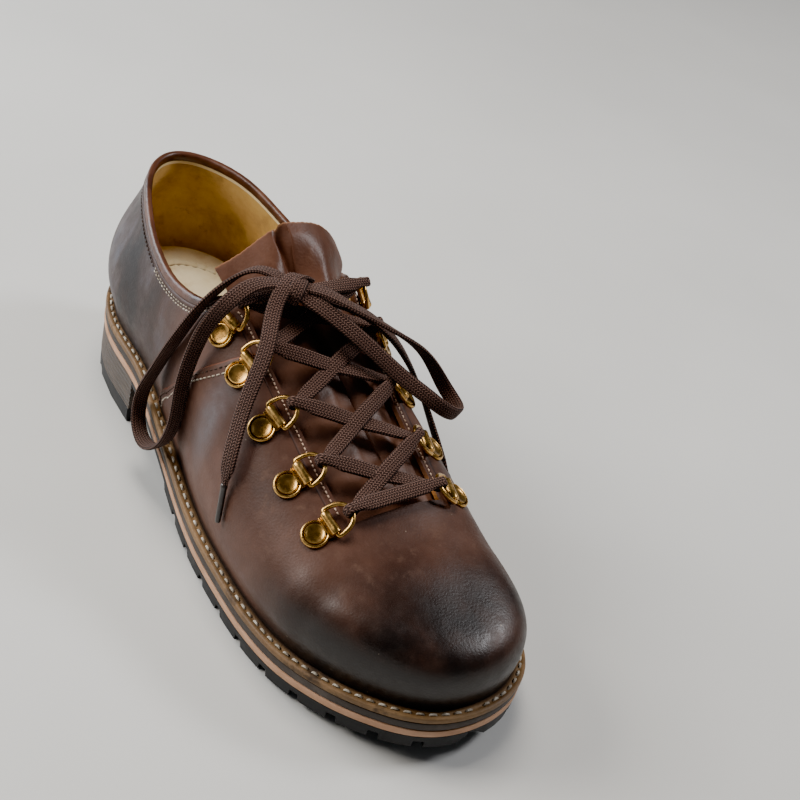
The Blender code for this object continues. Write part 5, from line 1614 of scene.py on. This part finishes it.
lateral_half = half_lace(LATERAL, KNOT + [-2.5, 3.0, -1.0])
medial_half = half_lace(MEDIAL, KNOT + [-1.0, -3.0, -2.0])
whole_lace = even(*(np.concatenate([a[::-1], b[1:]]) for a, b in zip(lateral_half, medial_half)), LACE_STEP)
lace_tips = np.array([ring_tip(*hook)[0] for hook in HOOKS])
lace_free = ease(2.0, 9.0, np.linalg.norm(whole_lace[0][:, None] - lace_tips, axis=-1).min(1))
lacing = ribbon(*whole_lace, LACE_WIDE * (0.62 + 0.38 * lace_free), LACE_THICK * (1.2 - 0.2 * lace_free))
laced(
    "lacing", [lacing], "lace", ["lace_bar", "lace_cross_1", "lace_cross_2", "lace_cross_3", "lace_cross_4"],
)

# The bow: the lace's two ends tied over the top crossing. The knot is a band of lace round the bundle, a
# long loop hangs down the outer side, a short one falls on the inner side, and both ends hang free.
BUNDLE = unit(np.array([0.65, 0.74, 0.10]))
BOW_STEP, BOW_EASE = 0.9, 9
LATERAL_LOOP = table(
    "x    y     z   fx   fy   fz",
    (132, -9, 110, -0.2, -0.1, 1.0),
    (127.5, -11, 112.2, -0.3, -0.2, 1.0),
    (123, -14.5, 112.8, -0.3, -0.2, 1.0),
    (119.4, -18.2, 113, -0.5, -0.3, 0.9),
    (116.4, -26.6, 107, -0.8, -0.3, 0.5),
    (114.3, -35.6, 96.2, -0.9, -0.2, 0.3),
    (109.8, -42.4, 77.7, -1.0, 0.0, 0.2),
    (99.9, -43.7, 55.9, -1.0, 0.0, 0.3),
    (92.3, -45.2, 34, -1.0, 0.1, 0.1),
    (96.0, -46.8, 22.2, -0.7, 0.1, -0.7),
    (106.3, -47.9, 19.4, 0.5, 0.1, -0.8),
    (117.8, -47.4, 28.3, 1.0, 0.1, -0.3),
    (125.4, -47, 45.7, 1.0, 0.0, -0.1),
    (125.9, -46.3, 70, 1.0, -0.1, 0.0),
    (126, -41.1, 92, 0.9, -0.3, 0.3),
    (128.7, -33.7, 106.7, 0.6, -0.3, 0.7),
    (128.1, -24, 112.1, 0.3, -0.2, 1.0),
    (130, -15, 112.5, 0.0, 0.0, 1.0),
    (133.5, -8, 111, 0.0, 0.0, 1.0),
)
MEDIAL_LOOP = table(
    "x    y     z   fx   fy   fz",
    (135, -8, 110, 0.2, -0.2, 1.0),
    (142, -4, 109.5, 0.4, -0.4, 0.8),
    (150.6, 3.5, 105.2, 0.5, -0.45, 0.75),
    (161.3, 13.1, 98.1, 0.55, -0.55, 0.62),
    (172.0, 22.6, 90.4, 0.5, -0.65, 0.55),
    (181.3, 30.2, 86.0, 0.5, -0.75, 0.45),
    (186.4, 35.6, 82.2, 0.88, -0.26, 0.0),
    (185.7, 43.8, 77.3, 0.8, 0.46, -0.39),
    (179.6, 49.4, 74.6, 0.25, 0.9, -0.57),
    (171.6, 48.8, 76.8, -0.44, 0.82, -0.41),
    (162.5, 38.5, 92.5, -0.3, 0.9, 0.3),
    (156.5, 22.5, 103.2, -0.1, 0.6, 0.8),
    (148.2, 8.6, 110.1, 0.0, 0.3, 0.95),
    (139, 0, 112.6, 0.0, 0.0, 1.0),
    (132, -7, 111, 0.0, 0.0, 1.0),
)
LATERAL_END = table(
    "x    y     z   fx   fy   fz",
    (129.3, -0.2, 109.6, -0.8, 0.6, 0.0),
    (128.7, -3.2, 113.0, -0.6, 0.4, 0.7),
    (130.6, -8.2, 115.2, 0.0, 0.0, 1.0),
    (133.8, -14, 113.0, 0.3, -0.3, 0.9),
    (137.3, -19, 107.8, 0.55, -0.5, 0.7),
    (150.5, -28, 97.8, 0.5, -0.6, 0.6),
    (160, -39.2, 80.1, 0.4, -0.75, 0.5),
    (170.2, -48, 64.6, 0.35, -0.85, 0.4),
    (172.8, -49.7, 54.2, 0.3, -0.9, 0.3),
)
MEDIAL_END = table(
    "x    y     z   fx   fy   fz",
    (133, -7, 108.5, 0.2, 0.2, 1.0),
    (134.5, -1, 107.8, 0.2, 0.2, 1.0),
    (138.5, 4.7, 107, 0.2, 0.2, 1.0),
    (146.5, 15.7, 104.9, 0.3, 0.4, 0.9),
    (154.2, 29, 94.3, 0.4, 0.6, 0.7),
    (162.7, 40.3, 75.9, 0.3, 0.85, 0.4),
    (175.5, 44.7, 59.5, 0.2, 0.95, 0.2),
    (187.2, 48, 44.5, 0.2, 0.95, 0.2),
)
LACE_NECK, NECK_LONG = 2.3, 9.0
AGLET_R = 1.3


def bow_route(tab):
    """A smooth curve through a route's points and the lace's face along it, with its turns eased.

    Both are cubics of the square root of the points' distances; a moving mean then rounds the tight turns.
    """
    keys = ("x", "y", "z", "fx", "fy", "fz")
    points = np.column_stack([tab[key] for key in keys])
    run = np.concatenate([[0], np.cumsum(np.linalg.norm(np.diff(points[:, :3], axis=0), axis=1) ** 0.5)])
    fine = np.linspace(0, run[-1], 400)
    line = np.column_stack([along({**tab, "run": run}, key, fine, by="run") for key in keys])
    line = np.column_stack(even(line[:, :3], line[:, 3:], BOW_STEP))
    reach = 2 * line[:1] - line[BOW_EASE:0:-1], line, 2 * line[-1:] - line[-2 : -BOW_EASE - 2 : -1]
    spread = np.hanning(2 * BOW_EASE + 3)[1:-1]
    smooth = [np.convolve(column, spread / spread.sum(), "valid") for column in np.concatenate(reach).T]
    return even(np.column_stack(smooth[:3]), np.column_stack(smooth[3:]), BOW_STEP)


def free_lace(name, tab, node, with_tip, tied=()):
    """A loop or an end of the bow as a lace; an end narrows into its tip."""
    path, flat = bow_route(tab)
    left = measured(path)[-1] - measured(path)
    neck = ease(0, NECK_LONG, left) if with_tip else 1.0 + 0 * left
    wide = LACE_NECK + (LACE_WIDE - LACE_NECK) * neck
    thick = LACE_NECK * 0.8 + (LACE_THICK - LACE_NECK * 0.8) * neck
    piece = laced(name, [ribbon(path, flat, wide, thick)], "lace", [node])
    tips = [aglet(with_tip, path, flat)] if with_tip else list(tied)
    return piece


aglet_look = Finish("dark_aglet", {"Specular IOR Level": 0.5, "Coat Weight": 0.4, "Coat Roughness": 0.15})
aglet_scuff = aglet_look.noise(520.0, 4.0, 0.65)
aglet_look.relief(aglet_look.noise(900.0, 3.0), 0.05)
DARK_AGLET = aglet_look.finish(
    aglet_look.ramp(
        aglet_scuff, (0.3, 0.011, 0.0075, 0.0065), (0.6, 0.026, 0.018, 0.015), (0.8, 0.075, 0.060, 0.052)
    ),
    aglet_look.band(aglet_scuff, 0.3, 0.7, 0.28, 0.5),
)


def aglet(node, path, flat):
    """A crimped tip: a round sleeve from a flared mouth to a rounded nose, carried on from the lace's end."""
    way = unit(path[-1] - path[-3])
    face = unit(flat[-1] - way * flat[-1].dot(way))
    across = np.cross(way, face)
    along_tip = np.array([-1.2, -1.0, 0.0, 0.5, 1.2, 4, 8, 12, 15, 15.7, 15.95, 16.0])
    radius = np.array([0.2, 1.5, 1.85, 1.85, 1.62, 1.6, 1.6, 1.55, 1.5, 1.2, 0.7, 0.02]) * AGLET_R / 1.7
    turn = np.arange(16) * math.tau / 16
    spoke = across * np.cos(turn)[:, None] + face * np.sin(turn)[:, None]
    points = path[-1] + way * along_tip[:, None, None] + spoke[None] * radius[:, None, None]
    ends = [np.arange(16)[None], np.arange(16)[None] + (len(radius) - 1) * 16]
    return put(f"{node}_tip", points, [grid_faces(len(radius), 16, True), *ends], DARK_AGLET, "aglet", [node])


def knot_band(lean, wide, high):
    """One turn of lace round the bundle: an ellipse square to it, leaned by an angle along it."""
    turn = np.linspace(math.radians(-105), math.radians(255), 70)
    level = unit(np.cross(BUNDLE, UP))
    upright = unit(UP * math.cos(lean) + BUNDLE * math.sin(lean))
    path = KNOT + level * (wide * np.cos(turn))[:, None] + upright * (high * np.sin(turn))[:, None]
    flat = level * (np.cos(turn) / wide)[:, None] + upright * (np.sin(turn) / high)[:, None]
    return ribbon(*even(path, unit(flat), LACE_STEP))


def knot_heart():
    """The bundle inside the band: a rounded form along it, woven like the lace."""
    ends = np.linspace(-math.pi / 2, math.pi / 2, 13)
    rise, turn = np.meshgrid(ends, np.arange(20) * math.tau / 20, indexing="ij")
    level = unit(np.cross(BUNDLE, UP))
    top = np.cross(level, BUNDLE)
    form = BUNDLE * (6.2 * np.sin(rise))[..., None]
    ring = level * (5.0 * np.cos(turn))[..., None] + top * (3.5 * np.sin(turn))[..., None]
    form = form + ring * np.cos(rise)[..., None]
    marks = {"weave_run": (6.2 * np.sin(rise)).ravel(), "weave_across": (4 * np.sin(turn)).ravel()}
    return (KNOT + form).reshape(-1, 3), [grid_faces(13, 20, True)], marks


bow_knot = laced("bow_knot", [knot_heart(), knot_band(0.25, 5.6, 4.3)], "lace", ["lace_knot"])
free_lace("bow_loop_outer", LATERAL_LOOP, "lace_loop_lat", None, [bow_knot])
free_lace("bow_loop_inner", MEDIAL_LOOP, "lace_loop_med", None)
free_lace("bow_end_outer", LATERAL_END, "lace_end_lat", "aglet_lat")
free_lace("bow_end_inner", MEDIAL_END, "lace_end_med", "aglet_med")
